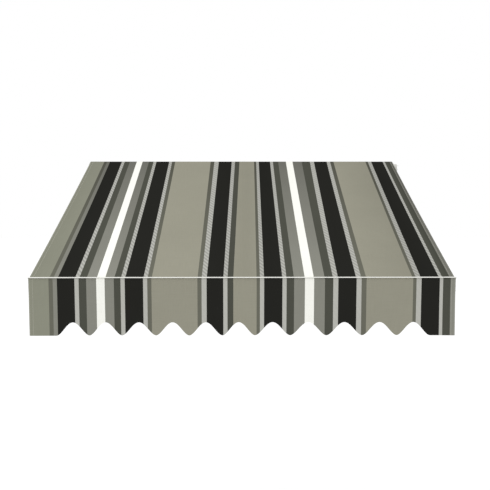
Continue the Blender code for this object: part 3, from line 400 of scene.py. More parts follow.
class PaintedShadeBands(Effect):
    """Painted shade: soft darker bands across the cover, and a darkening towards the roll.

    Across is the distance in metres from the seam, and Along the distance from the front bar. Kept
    is 0 on the yarns that take more painted shade towards the roll.
    """

    name = "painted_shade_bands"
    inputs = {"Across": "Float", "Along": "Float", "Kept": "Float"}
    outputs = {"Tone": "Float"}
    half_width = 1.2
    shade_towards_roll = (0.20, 0.01)
    roll = 1.9
    shade_tones = (
        (-1.20, 0.87),
        (-0.97, 1.0),
        (-0.20, 0.99),
        (0.02, 0.88),
        (0.22, 0.99),
        (0.66, 1.0),
        (0.84, 0.93),
        (0.98, 0.87),
        (1.09, 1.0),
        (1.15, 0.95),
        (1.20, 0.62),
    )

    def wire(self, kit: NodeKit, given: Any, result: Any) -> None:
        """Painted shade: tone runs evenly from one named place to the next, and falls towards the
        roll.
        """
        share = kit.maths("MULTIPLY_ADD", given["Across"], 0.5 / self.half_width, 0.5)
        ramp = kit.add("ShaderNodeValToRGB", {0: share})
        steps = ramp.color_ramp.elements
        for place, _ in self.shade_tones[1:-1]:
            steps.new(0.5 + 0.5 * place / self.half_width)
        for step, (_, tone) in zip(steps, self.shade_tones):
            step.color = (tone, tone, tone, 1.0)
        depth = kit.ranged(given["Kept"], 0.0, 1.0, *self.shade_towards_roll)
        along = kit.maths("MINIMUM", given["Along"], self.roll)
        fall = kit.maths("SUBTRACT", 1.0, kit.maths("MULTIPLY", along, depth))
        kit.feed(result["Tone"], kit.maths("MULTIPLY", ramp.outputs[0], fall))


class WovenFace(Effect):
    """The face of a close weave: streaks of thick and thin yarn both ways."""

    name = "woven_face"
    inputs = {"Position": "Vector"}
    outputs = {"Tone": "Float", "Height": "Float"}

    def wire(self, kit: NodeKit, given: Any, result: Any) -> None:
        """Adds a noise drawn out along the warp, one along the weft and a fine fleck."""
        scales = ((420.0, 9.0, 1.0), (9.0, 420.0, 1.0), (640.0, 640.0, 1.0))
        warp, weft, fleck = (kit.noise(kit.scaled(given["Position"], s), 1.0, 2.0) for s in scales)
        height = kit.maths("MULTIPLY_ADD", fleck, 0.8, kit.maths("ADD", warp, weft))
        kit.feed(result["Height"], height)
        kit.feed(result["Tone"], kit.ranged(height, 1.05, 1.75, 0.955, 1.045))


class StitchRow(Effect):
    """One row of stitches along the cloth, at a distance Row from the seam, on both sides of it."""

    name = "stitch_row"
    inputs = {"Across": "Float", "Along": "Float", "Row": "Float"}
    outputs = {"Mask": "Float"}
    half_width = 0.7 * MM
    stitch = 4.2 * MM

    def wire(self, kit: NodeKit, given: Any, result: Any) -> None:
        """Mask is 1 inside the thread's width, for two thirds of each stitch length."""
        outside = kit.maths("ABSOLUTE", given["Across"])
        distance = kit.maths("ABSOLUTE", kit.maths("SUBTRACT", outside, given["Row"]))
        beside = kit.ranged(distance, self.half_width * 0.7, self.half_width, 1.0, 0.0)
        phase = kit.maths("FRACT", kit.maths("MULTIPLY", given["Along"], 1 / self.stitch))
        swing = kit.maths("ABSOLUTE", kit.maths("SUBTRACT", phase, 0.5))
        shown = kit.ranged(swing, 0.30, 0.36, 1.0, 0.0)
        kit.feed(result["Mask"], kit.maths("MULTIPLY", beside, shown))


# Finishes


@dataclass(frozen=True)
class Finish:
    """A finish that builds its material the first time it is asked for.

    Fields: the material's name and the slot that it stands for.
    """

    name: str
    slot: str

    def shade(self, kit: NodeKit, shader: bpy.types.Node) -> None:
        """Fills the shader's inputs."""
        raise NotImplementedError

    def material(self) -> bpy.types.Material:
        """Returns the finish's material, which is built the first time."""
        found = bpy.data.materials.get(self.name)
        if found is not None:
            return found
        material = bpy.data.materials.new(self.name)
        material.use_nodes = True
        tree = material.node_tree
        tree.nodes.clear()
        kit = NodeKit(tree)
        shader = kit.add("ShaderNodeBsdfPrincipled")
        kit.add("ShaderNodeOutputMaterial", {"Surface": shader.outputs[0]})
        self.shade(kit, shader)
        return material


@dataclass(frozen=True)
class PowderCoat(Finish):
    """White powder coat on an extrusion or a casting.

    Fields: the screen colour, the roughness, the number and depth of the coat's small hills, and
    how much dust lies on it.
    """

    colour: Tint
    roughness: float
    hills_per_metre: float
    hill_depth: float
    dust: float = 0.10

    def shade(self, kit: NodeKit, shader: bpy.types.Node) -> None:
        """Tints the coat with mottle, dust and painted shade in its pits, and roughens it with its
        hills.
        """
        place = kit.add("ShaderNodeTexCoord").outputs["Object"]
        tone = Mottle().place(kit, {"Position": place, "Scale": 9.0, "Depth": 0.022})["Tone"]
        peel = Peel().place(kit, {"Position": place, "Scale": self.hills_per_metre})
        dust = SettledDust().place(kit, {"Position": place, "Amount": self.dust})["Mask"]
        coat = kit.tinted(linear(self.colour), tone)
        # Painted shade: the coat's pits are darkened towards a grey.
        pit_shaded = kit.blend(kit.maths("MULTIPLY", peel["Pits"], 0.12), coat, linear(PAINTED_PIT_SHADE))
        rough = kit.ranged(dust, 0.0, 0.25, self.roughness, self.roughness + 0.2)
        kit.feed(shader.inputs["Base Color"], kit.blend(dust, pit_shaded, linear(DUST)))
        kit.feed(shader.inputs["Roughness"], rough)
        kit.feed(shader.inputs["Normal"], kit.bump(peel["Height"], 0.35, self.hill_depth))


@dataclass(frozen=True)
class PlatedSteel(Finish):
    """Zinc plated or oiled steel, and machined bronze.

    Fields: the screen colours of the metal and its tarnish, the roughness and the number of drawn
    lines per metre.
    """

    colour: Tint
    tarnish: Tint
    roughness: float
    lines_per_metre: float

    def shade(self, kit: NodeKit, shader: bpy.types.Node) -> None:
        """Clouds the plating with tarnish and breaks its gloss with fine lines."""
        place = kit.add("ShaderNodeTexCoord").outputs["Object"]
        tone = Mottle().place(kit, {"Position": place, "Scale": 40.0, "Depth": 0.05})["Tone"]
        line = DrawnLines().place(kit, {"Position": place, "Scale": self.lines_per_metre})["Line"]
        cloud = Mottle().place(kit, {"Position": place, "Scale": 75.0, "Depth": 0.5})["Tone"]
        dull = kit.ranged(cloud, 0.95, 1.5, 0.0, 0.6)
        plated = kit.blend(dull, linear(self.colour), linear(self.tarnish))
        kit.feed(shader.inputs["Base Color"], kit.tinted(plated, tone))
        shader.inputs["Metallic"].default_value = 1.0
        rough = kit.ranged(line, 0.0, 1.0, self.roughness - 0.08, self.roughness + 0.1)
        kit.feed(shader.inputs["Roughness"], rough)
        kit.feed(shader.inputs["Normal"], kit.bump(line, 0.15, 0.05 * MM))


@dataclass(frozen=True)
class MouldedPlastic(Finish):
    """Light moulded plastic with a fine spark-eroded grain.

    Fields: the screen colour, the roughness, the number of grains and how much dust lies on it.
    """

    colour: Tint
    roughness: float
    grains_per_metre: float = 1400.0
    dust: float = 0.12

    def shade(self, kit: NodeKit, shader: bpy.types.Node) -> None:
        """Gives the plastic a faint mottle, a fine grain and a film of dust."""
        place = kit.add("ShaderNodeTexCoord").outputs["Object"]
        tone = Mottle().place(kit, {"Position": place, "Scale": 25.0, "Depth": 0.02})["Tone"]
        peel = Peel().place(kit, {"Position": place, "Scale": self.grains_per_metre})
        dust = SettledDust().place(kit, {"Position": place, "Amount": self.dust})["Mask"]
        base = kit.tinted(linear(self.colour), tone)
        rough = kit.ranged(peel["Height"], 0.4, 0.9, self.roughness - 0.06, self.roughness + 0.06)
        kit.feed(shader.inputs["Base Color"], kit.blend(dust, base, linear(DUST_ON_PLASTIC)))
        kit.feed(shader.inputs["Roughness"], rough)
        kit.feed(shader.inputs["Normal"], kit.bump(peel["Height"], 0.4, 0.03 * MM))


class Hatch(Enum):
    """How far the twist of the light yarn shows."""

    PLAIN = 0.03
    TWISTED = 0.34


@dataclass(frozen=True)
class StripedCloth(Finish):
    """Woven striped awning cloth, read from the piece's own UV map in metres.

    Fields: how far the light yarn's twist shows, the rows of stitches from the seam, whether the
    cloth takes bands of painted shade and a darkening towards the roll, the width and steepness of
    the twist's lines, and how far the stripes' borders stray with the weave.
    """

    hatch: Hatch
    stitch_rows: tuple[float, ...] = ()
    painted_shade: bool = False
    twist_pitch: float = 26.0 * MM
    twist_slope: float = 0.62
    stray: float = 6.0 * MM

    def twisted(self, kit: NodeKit, colour: Any, across: Any, along: Any) -> Socket:
        """Darkens the light yarn along slanting lines, one for each turn of the twist.

        The light yarn is told by its brightness, between those of the mid and the white one.
        """
        slant = kit.maths("MULTIPLY_ADD", along, self.twist_slope, across)
        turn = kit.maths("SINE", kit.maths("MULTIPLY", slant, 2 * math.pi / self.twist_pitch))
        brightness = kit.add("ShaderNodeRGBToBW", {0: colour}).outputs[0]
        over_mid = kit.ranged(brightness, 0.36, 0.42, 0.0, self.hatch.value)
        is_light = kit.maths("MULTIPLY", over_mid, kit.ranged(brightness, 0.65, 0.75, 1.0, 0.0))
        dark = kit.maths("MULTIPLY", kit.ranged(turn, -1.0, 1.0, 0.0, 1.0), is_light)
        return kit.tinted(colour, kit.maths("SUBTRACT", 1.0, dark))

    def shade(self, kit: NodeKit, shader: bpy.types.Node) -> None:
        """Lays the stripes, the weave, the twist, the stitches, a faint unevenness of tone and any
        painted shade.
        """
        place = kit.add("ShaderNodeUVMap", uv_map="cloth").outputs[0]
        parts = kit.add("ShaderNodeSeparateXYZ", {0: place}).outputs
        woven = WovenFace().place(kit, {"Position": place})
        strayed = kit.maths("MULTIPLY", kit.maths("SUBTRACT", woven["Tone"], 1.0), self.stray)
        across = kit.maths("ADD", parts[0], strayed)
        stripes = StripePlan().place(kit, {"Across": across})
        broad = Mottle().place(kit, {"Position": place, "Scale": 2.6, "Depth": 0.022})["Tone"]
        tone = kit.maths("MULTIPLY", broad, woven["Tone"])
        # Painted shade: darker bands across the cloth, and a darkening towards the roll.
        if self.painted_shade:
            places = {"Across": parts[0], "Along": parts[1], "Kept": stripes["Kept"]}
            tone = kit.maths("MULTIPLY", tone, PaintedShadeBands().place(kit, places)["Tone"])
        colour = kit.tinted(self.twisted(kit, stripes["Colour"], parts[0], parts[1]), tone)
        height = woven["Height"]
        for row in self.stitch_rows:
            places = {"Across": parts[0], "Along": parts[1], "Row": row}
            mask = StitchRow().place(kit, places)["Mask"]
            colour = kit.blend(mask, colour, linear(THREAD))
            height = kit.maths("ADD", height, kit.maths("MULTIPLY", mask, 1.5))
        kit.feed(shader.inputs["Base Color"], colour)
        shader.inputs["Roughness"].default_value = 0.95
        shader.inputs["Specular IOR Level"].default_value = 0.0
        kit.feed(shader.inputs["Normal"], kit.bump(height, 0.5, 0.25 * MM))


PAINT = PowderCoat("white_powder_coat", "white_paint", (243, 243, 237), 0.38, 900.0, 0.10 * MM)
CASTING = PowderCoat("coated_casting", "cast_white", (216, 216, 210), 0.50, 420.0, 0.30 * MM)
ZINC = PlatedSteel("bright_zinc", "zinc_plate", (205, 207, 208), (165, 163, 150), 0.34, 30.0)
SPRING = PlatedSteel(
    "oiled_spring_steel", "spring_steel", (120, 120, 122), (84, 80, 74), 0.38, 30.0
)
BRONZE = PlatedSteel("machined_bronze", "bronze_wheel", (200, 165, 105), (150, 112, 66), 0.36, 55.0)
PLASTIC = MouldedPlastic("light_moulding", "light_plastic", (226, 226, 222), 0.5)


# Meshes


def place_object(name: str, data: Any) -> Piece:
    """Puts a mesh, lamp or camera in the scene at the origin."""
    placed = bpy.data.objects.new(name, data)
    bpy.context.scene.collection.objects.link(placed)
    return placed


def vertex_places(mesh: bpy.types.Mesh) -> np.ndarray:
    """One row of three coordinates for each vertex of a mesh."""
    places = np.zeros(len(mesh.vertices) * 3)
    mesh.vertices.foreach_get("co", places)
    return places.reshape(-1, 3)


def add_object(mesh: bpy.types.Mesh, finish: Finish) -> Piece:
    """Puts a finished mesh in the scene at the origin, with its material."""
    piece = place_object(mesh.name, mesh)
    mesh.materials.clear()
    mesh.materials.append(finish.material())
    return piece


def fill_mesh(
    name: str, points: np.ndarray, faces: np.ndarray, uv: np.ndarray | None = None
) -> bpy.types.Mesh:
    """Makes a mesh from whole arrays.

    Args:
        name: the mesh's name.
        points: one row of three coordinates for each vertex.
        faces: one row of four vertex numbers for each face.
        uv: one row of two map coordinates for each vertex, or None.

    Returns:
        The mesh, shaded smooth with its sharp edges kept.
    """
    mesh = bpy.data.meshes.new(name)
    mesh.vertices.add(len(points))
    mesh.vertices.foreach_set("co", points.astype(np.float32).ravel())
    mesh.loops.add(faces.size)
    mesh.loops.foreach_set("vertex_index", faces.astype(np.int32).ravel())
    mesh.polygons.add(len(faces))
    mesh.polygons.foreach_set("loop_start", np.arange(0, faces.size, 4, dtype=np.int32))
    mesh.update(calc_edges=True)
    mesh.validate()
    if uv is not None:
        layer = mesh.uv_layers.new(name="cloth")
        layer.uv.foreach_set("vector", uv[faces.ravel()].astype(np.float32).ravel())
    mesh.shade_smooth()
    mesh.set_sharp_from_angle(angle=SHARP_FROM)
    return mesh


def grid_faces(numbers: np.ndarray) -> np.ndarray:
    """Four corners for each cell of a grid of vertex numbers, in turn round the cell."""
    corners = (numbers[:-1, :-1], numbers[:-1, 1:], numbers[1:, 1:], numbers[1:, :-1])
    return np.stack(corners, axis=-1).reshape(-1, 4)


def ring_faces(rings: int, sides: int) -> np.ndarray:
    """Faces of a round body from rings of vertex numbers.

    Each end is closed by a strip of four-sided faces between the two halves of its ring.

    Args:
        rings: how many rings there are.
        sides: the vertices on each ring, an even number.

    Returns:
        Four vertex numbers for each face.
    """
    numbers = np.arange(rings * sides).reshape(rings, sides)
    wrapped = np.concatenate([numbers, numbers[:, :1]], axis=1)
    step = np.arange(sides // 2 - 1)
    strip = np.stack([sides - 1 - step, (sides - step) % sides, 1 + step, 2 + step], axis=-1)
    return np.concatenate([grid_faces(wrapped), strip[:, ::-1], strip + numbers[-1, 0]])


def facing_of(middle: np.ndarray) -> np.ndarray:
    """The unit direction square to a grid surface: its column step crossed with its row step."""
    down, across = np.gradient(middle, axis=0), np.gradient(middle, axis=1)
    normal = np.cross(across, down)
    return normal / np.linalg.norm(normal, axis=-1, keepdims=True)


def closed_sheet(
    name: str,
    middle: np.ndarray,
    half: np.ndarray,
    uv: np.ndarray,
    facing: np.ndarray | None = None,
) -> bpy.types.Mesh:
    """Makes a sheet with two faces and a rim from a grid of points in the middle of its thickness.

    Each face is the middle surface moved along its own facing direction by half of the thickness
    there, one face to each side, and the rim joins their borders.

    Args:
        name: the mesh's name.
        middle: rows by columns by three coordinates.
        half: rows by columns, half of the thickness.
        uv: rows by columns by two, the place on the flat cloth in metres.
        facing: the facing directions, where the sheet is part of a larger one.

    Returns:
        The closed mesh.
    """
    offset = (facing_of(middle) if facing is None else facing) * half[..., None]
    front = np.arange(half.size).reshape(half.shape)
    back = front + half.size
    border = np.concatenate([front[0, :-1], front[:-1, -1], front[-1, :0:-1], front[:0:-1, 0]])
    following = np.roll(border, -1)
    rim = np.stack([border, border + half.size, following + half.size, following], axis=-1)
    faces = np.concatenate([grid_faces(front), grid_faces(back)[:, ::-1], rim])
    points = np.concatenate([(middle + offset).reshape(-1, 3), (middle - offset).reshape(-1, 3)])
    return fill_mesh(name, points, faces, np.tile(uv.reshape(-1, 2), (2, 1)))


def smooth_step(value: np.ndarray, low: float, high: float) -> np.ndarray:
    """Rises from 0 at low to 1 at high, level at both ends."""
    share = np.clip((value - low) / (high - low), 0.0, 1.0)
    return share * share * (3.0 - 2.0 * share)


def bead_half(past: np.ndarray, radius: float) -> np.ndarray:
    """Half of a round bead's thickness at a distance from its middle; almost nothing beyond it."""
    return np.sqrt(np.clip(radius**2 - past**2, THINNEST**2, None))


def on_circle(angle: np.ndarray, first: np.ndarray, second: np.ndarray) -> np.ndarray:
    """Steps of length 1 at angles in the plane that two directions span: cosine and sine shares."""
    return np.cos(angle)[..., None] * first + np.sin(angle)[..., None] * second


def swept_tube(name: str, line: np.ndarray, radius: float, sides: int) -> bpy.types.Mesh:
    """Carries a circle along a line of points and closes both ends.

    Each ring lies in the plane square to the line's direction there, which two vectors span: the
    direction crossed with a fixed way, and the direction crossed with that.

    Args:
        name: the mesh's name.
        line: one row of three coordinates for each ring's centre.
        radius: of the tube.
        sides: of each ring, an even number.

    Returns:
        The closed mesh.
    """
    along = np.gradient(line, axis=0)
    along /= np.linalg.norm(along, axis=1, keepdims=True)
    first = np.cross(along, (0.31, 0.17, 0.93))
    first /= np.linalg.norm(first, axis=1, keepdims=True)
    second = np.cross(along, first)
    angle = np.arange(sides) * 2 * math.pi / sides
    points = line[:, None] + radius * on_circle(angle, first[:, None], second[:, None])
    return fill_mesh(name, points.reshape(-1, 3), ring_faces(len(line), sides))


# Where the cloth hangs


@dataclass(frozen=True)
class ClothLine:
    """The places that carry the cloth, read from the frame, as (y, z) points and sizes.

    Fields: the roller's axis and the radii of the turns and the tube, the middles of the cover's
    and the valance's beads in the front bar, the valance's plane and lowest line, the places across
    where its waves meet, half of the cloth's width, the beads' radius, the thickness of the frame's
    cloth and of the cloth made here, its distance from the turns, the side hems' width, how far
    their stitches are from the cloth's edge and from the hem's inner fold, and how far a tip's
    corners may be above the lowest one.
    """

    roller: Pair
    turns_radius: float
    tube_radius: float
    keder: Pair
    valance_bead: Pair
    valance_plane: float
    valance_low: float
    tips: tuple[float, ...]
    half_width: float
    bead_radius: float = 2.6 * MM
    solid_cloth: float = 1.0 * MM
    cloth: float = 0.6 * MM
    wrap_gap: float = 0.8 * MM
    hem: float = 25.0 * MM
    stitch_from_edge: float = 4.0 * MM
    stitch_from_fold: float = 3.0 * MM
    level: float = 0.1 * MM

    @classmethod
    def from_frame(cls, valance: Piece) -> "ClothLine":
        """Reads the boxes of the roller, the turns, the cover and the valance.

        Args:
            valance: the frame's solid for the valance, whose lowest points are the waves' tips.

        Returns:
            The places that carry the cloth.
        """
        points = vertex_places(valance.data)
        lowest = points[points[:, 2] < points[:, 2].min() + cls.level, 0]
        low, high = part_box("cloth_turns")
        tube_low, tube_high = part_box("roller_tube")
        cover_low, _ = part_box("cover")
        valance_low, valance_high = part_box("valance")
        return cls(
            roller=((low.y + high.y) / 2, (low.z + high.z) / 2),
            turns_radius=(high.z - low.z) / 2,
            tube_radius=(tube_high.z - tube_low.z) / 2,
            keder=(cover_low.y + cls.bead_radius, cover_low.z + cls.bead_radius),
            valance_bead=(valance_high.y - cls.bead_radius, valance_high.z - cls.bead_radius),
            valance_plane=valance_low.y + cls.solid_cloth / 2,
            valance_low=valance_low.z,
            tips=tuple(np.unique(np.round(lowest, 4))[1:-1]),
            half_width=high.x,
        )

    @property
    def stitch_rows(self) -> Pair:
        """Where the side hems' two rows of stitches are, from the seam."""
        fold = self.half_width - self.hem
        return fold + self.stitch_from_fold, self.half_width - self.stitch_from_edge

    @property
    def wrap_radius(self) -> float:
        """The radius at which the cover leaves the roll."""
        return self.turns_radius + self.wrap_gap

    @property
    def slope(self) -> float:
        """The cover's angle below the horizontal: the line from the keder that touches the roll."""
        y, z = self.roller
        keder_y, keder_z = self.keder
        reach = math.hypot(y - keder_y, z - keder_z)
        return math.atan2(z - keder_z, y - keder_y) + math.asin(self.wrap_radius / reach)

    @property
    def leaving(self) -> Pair:
        """The (y, z) point where the cover leaves the roll."""
        y, z = self.roller
        radius, slope = self.wrap_radius, self.slope
        return y - radius * math.sin(slope), z + radius * math.cos(slope)

    @property
    def length(self) -> float:
        """The cover's length from the roll to the keder."""
        y, z = self.leaving
        return math.hypot(y - self.keder[0], z - self.keder[1])


@dataclass(frozen=True)
class Wander:
    """How far the cloth's stripes have wandered sideways where it meets the roll.

    Fields: places across the cloth, each with its shift to the right.
    """

    places: tuple[Pair, ...] = (
        (-1.200, 0.000),
        (-1.040, -0.007),
        (-0.880, -0.013),
        (-0.670, -0.017),
        (-0.545, -0.019),
        (-0.248, 0.006),
        (-0.185, 0.020),
        (-0.020, 0.035),
        (0.137, 0.015),
        (0.230, 0.001),
        (0.406, 0.002),
        (0.479, 0.015),
        (0.560, 0.038),
        (0.678, 0.036),
        (1.034, 0.026),
        (1.123, 0.015),
        (1.200, 0.003),
    )

    def flat(self, across: np.ndarray, share: np.ndarray | float) -> np.ndarray:
        """The place on the flat cloth of points across the awning.

        Args:
            across: distance from the middle.
            share: how much of the shift there is, from 0 at the front bar to 1 on the roll.

        Returns:
            The distance from the seam on the flat cloth.
        """
        places, shifts = np.array(self.places).T
        return across - np.interp(across, places, shifts) * share


@dataclass
class Cover:
    """The striped cover between the roller and the front bar.

    Fields: how deep it hangs in the middle and how much deeper at its sides, its shallow waves,
    each as height, turn across, turn along and start, the seam's overlap and the ease at each step
    of thickness, how close its points are, and the lengths at the roll and at the front bar that
    keep their shape when the awning folds.
    """

    line: ClothLine
    sag: float = 4.0 * MM
    edge_sag: float = 2.0 * MM
    waves: tuple[tuple[float, float, float, float], ...] = (
        (0.9 * MM, 5.1, 2.0, 0.0),
        (0.6 * MM, 11.3, -4.0, 1.0),
    )
    seam: float = 10.0 * MM
    ease: float = 1.0 * MM
    column_step: float = 16.0 * MM
    rows: int = 110
    bead_rows: int = 11
    roll_edge: float = 12.0 * MM
    bar_edge: float = 20.0 * MM

    def columns(self) -> np.ndarray:
        """Places across the cloth: evenly spread, and in pairs where a hem or the seam steps."""
        half = self.line.half_width
        even = np.linspace(-half, half, int(2 * half / self.column_step) + 1)
        steps = np.array([half - self.line.hem, self.seam])
        pairs = np.concatenate([steps, steps - self.ease, steps + self.ease])
        return np.unique(np.round(np.concatenate([even, pairs, -pairs, [0.0]]), 6))

    def hang(self, across: np.ndarray, share: np.ndarray) -> np.ndarray:
        """How far the cloth hangs below the straight slope.

        A half sine from the roller to the front bar, a little deeper at the side edges, plus long
        shallow waves along and across that fade out at both ends.

        Args:
            across: distance from the seam.
            share: distance from the roller as a share of the length.

        Returns:
            The depth at each point.
        """
        edge = (across / self.line.half_width) ** 2
        waves = sum(high * np.sin(a * across + b * share + c) for high, a, b, c in self.waves)
        ends = np.sin(np.pi * np.clip(share, 0.0, 1.0))
        return ends * (self.sag + self.edge_sag * edge + waves)

    def thick(self, across: np.ndarray, past: np.ndarray) -> np.ndarray:
        """Half of the thickness: one cloth, two at a hem or the seam, and round at the bead.

        Args:
            across: distance from the seam.
            past: distance from the bead's centre, positive beyond it.

        Returns:
            Half of the thickness at each point.
        """
        line = self.line
        outside = np.abs(across)
        fold = line.half_width - line.hem
        hem = smooth_step(outside, fold - self.ease, fold)
        seam = 1.0 - smooth_step(outside, self.seam - self.ease, self.seam)
        half = line.cloth / 2 * (1.0 + np.maximum(hem, seam))
        bead = bead_half(past, line.bead_radius)
        return np.where(np.abs(past) <= line.bead_radius, np.maximum(half, bead), half)

    def build(self) -> tuple[Piece, Piece, Piece]:
        """Makes the cover's long middle, its edge on the roll and its edge in the front bar."""
        line = self.line
        last = line.length - self.bar_edge
        straight = np.linspace(0.0, line.length - line.bead_radius, self.rows)
        straight = np.unique(np.concatenate([straight, [self.roll_edge, last]]))
        turn = np.linspace(0.0, math.pi, self.bead_rows)[1:-1]
        along = np.concatenate([straight, line.length - line.bead_radius * np.cos(turn)])
        x, s = np.meshgrid(self.columns(), along)
        depth = self.hang(x, s / line.length)
        y0, z0 = line.leaving
        sine, cosine = math.sin(line.slope), math.cos(line.slope)
        y = y0 - s * cosine + depth * sine
        z = z0 - s * sine - depth * cosine
        half = self.thick(x, s - line.length)
        share = 1.0 - np.clip(s / line.length, 0.0, 1.0)
        uv = np.stack([Wander().flat(x, share), line.length - s], axis=-1)
        middle = np.stack([x, y, z], axis=-1)
        facing = facing_of(middle)
        finish = StripedCloth(
            "striped_cover_cloth", "striped_cloth", Hatch.TWISTED, line.stitch_rows, painted_shade=True
        )
        first, final = (int(np.argmin(np.abs(along - place))) for place in (self.roll_edge, last))
        spans = {
            "awning_cover": (slice(first, final + 1), "carrier"),
            "cover_edge_on_roll": (slice(0, first + 1), "carrier"),
            "cover_edge_in_bar": (slice(final, len(along)), "front_bar_body"),
        }
        pieces = []
        for name, (span, body) in spans.items():
            mesh = closed_sheet(name, middle[span], half[span], uv[span], facing[span])
            piece = add_object(mesh, finish)
            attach(piece, body)
            pieces.append(piece)
        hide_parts("cover")
        return tuple(pieces)


@dataclass
class RollerTurns:
    """The cloth that stays on the roller: two turns that spin with it, and the turn that feeds it.

    Fields: the number of turns that spin, the angle of the turn that feeds the slope, how far its
    radius shrinks along that angle, the air beside the spinning turns, the lengths before and past
    the end between which the cloth thins, the share of thickness left there, and how close the
    points are.
    """

    line: ClothLine
    turns: float = 2.0
    feed_angle: float = math.radians(338.0)
    feed_shrink: float = 0.35 * MM
    air: float = 0.05 * MM
    thinning: Pair = (3.0 * MM, 1.0 * MM)
    thin_end: float = 0.25
    steps_per_turn: int = 72
    columns: int = 25

    def spiral(
        self, name: str, start: float, radii: Pair, sweep: float, joined: float
    ) -> Piece:
        """Makes a sheet wound on a spiral about the roller's axis.

        Its radius grows evenly with the angle, from the first radius to the second.

        Args:
            name: the piece's name.
            start: the angle where it starts, from +Y towards +Z.
            radii: at the start and at the end.
            sweep: the angle that it turns through.
            joined: the cloth's length from the front bar at the start.

        Returns:
            The piece.
        """
        line = self.line
        count = int(abs(sweep) / (2 * math.pi) * self.steps_per_turn)
        share = np.linspace(0.0, 1.0, count + 1)
        angle = start + sweep * share
        radius = radii[0] + (radii[1] - radii[0]) * share
        arcs = np.abs(np.diff(angle)) * (radius[1:] + radius[:-1]) / 2
        run = np.concatenate([[0.0], np.cumsum(arcs)])
        even = np.linspace(-line.half_width, line.half_width, self.columns)
        turning = [place for place, _ in Wander().places]
        x, a = np.meshgrid(np.unique(np.round(np.concatenate([even, turning]), 4)), angle)
        r, s = (np.broadcast_to(column[:, None], x.shape) for column in (radius, run))
        y = line.roller[0] + r * np.cos(a)
        z = line.roller[1] + r * np.sin(a)
        uv = np.stack([Wander().flat(x, 1.0), joined + s], axis=-1)
        before, past = self.thinning
        taper = smooth_step(s, run[-1] + past, run[-1] - before)
        half = line.cloth / 2 * (self.thin_end + (1.0 - self.thin_end) * taper)
        mesh = closed_sheet(name, np.stack([x, y, z], axis=-1), half, uv)
        finish = StripedCloth("striped_roll_cloth", "striped_cloth", Hatch.PLAIN, painted_shade=True)
        piece = add_object(mesh, finish)
        piece["run"] = float(run[-1])
        return piece

    def build(self) -> tuple[Piece, Piece]:
        """Makes both pieces: the spinning turns and the feeding turn."""
        line = self.line
        leave = math.pi / 2 + line.slope
        feed = self.spiral(
            "cover_feed_turn",
            leave,
            (line.wrap_radius, line.wrap_radius - self.feed_shrink),
            -self.feed_angle,
            line.length,
        )
        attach(feed, "carrier")
        outer = line.wrap_radius - self.feed_shrink - line.cloth - self.air
        inner = line.tube_radius + line.cloth / 2 + self.air
        turns = self.spiral(
            "cloth_turns_on_roller",
            leave - self.feed_angle,
            (outer, inner),
            -self.turns * 2 * math.pi,
            line.length + feed["run"],
        )
        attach(turns, "roller")
        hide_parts("cloth_turns")
        return feed, turns


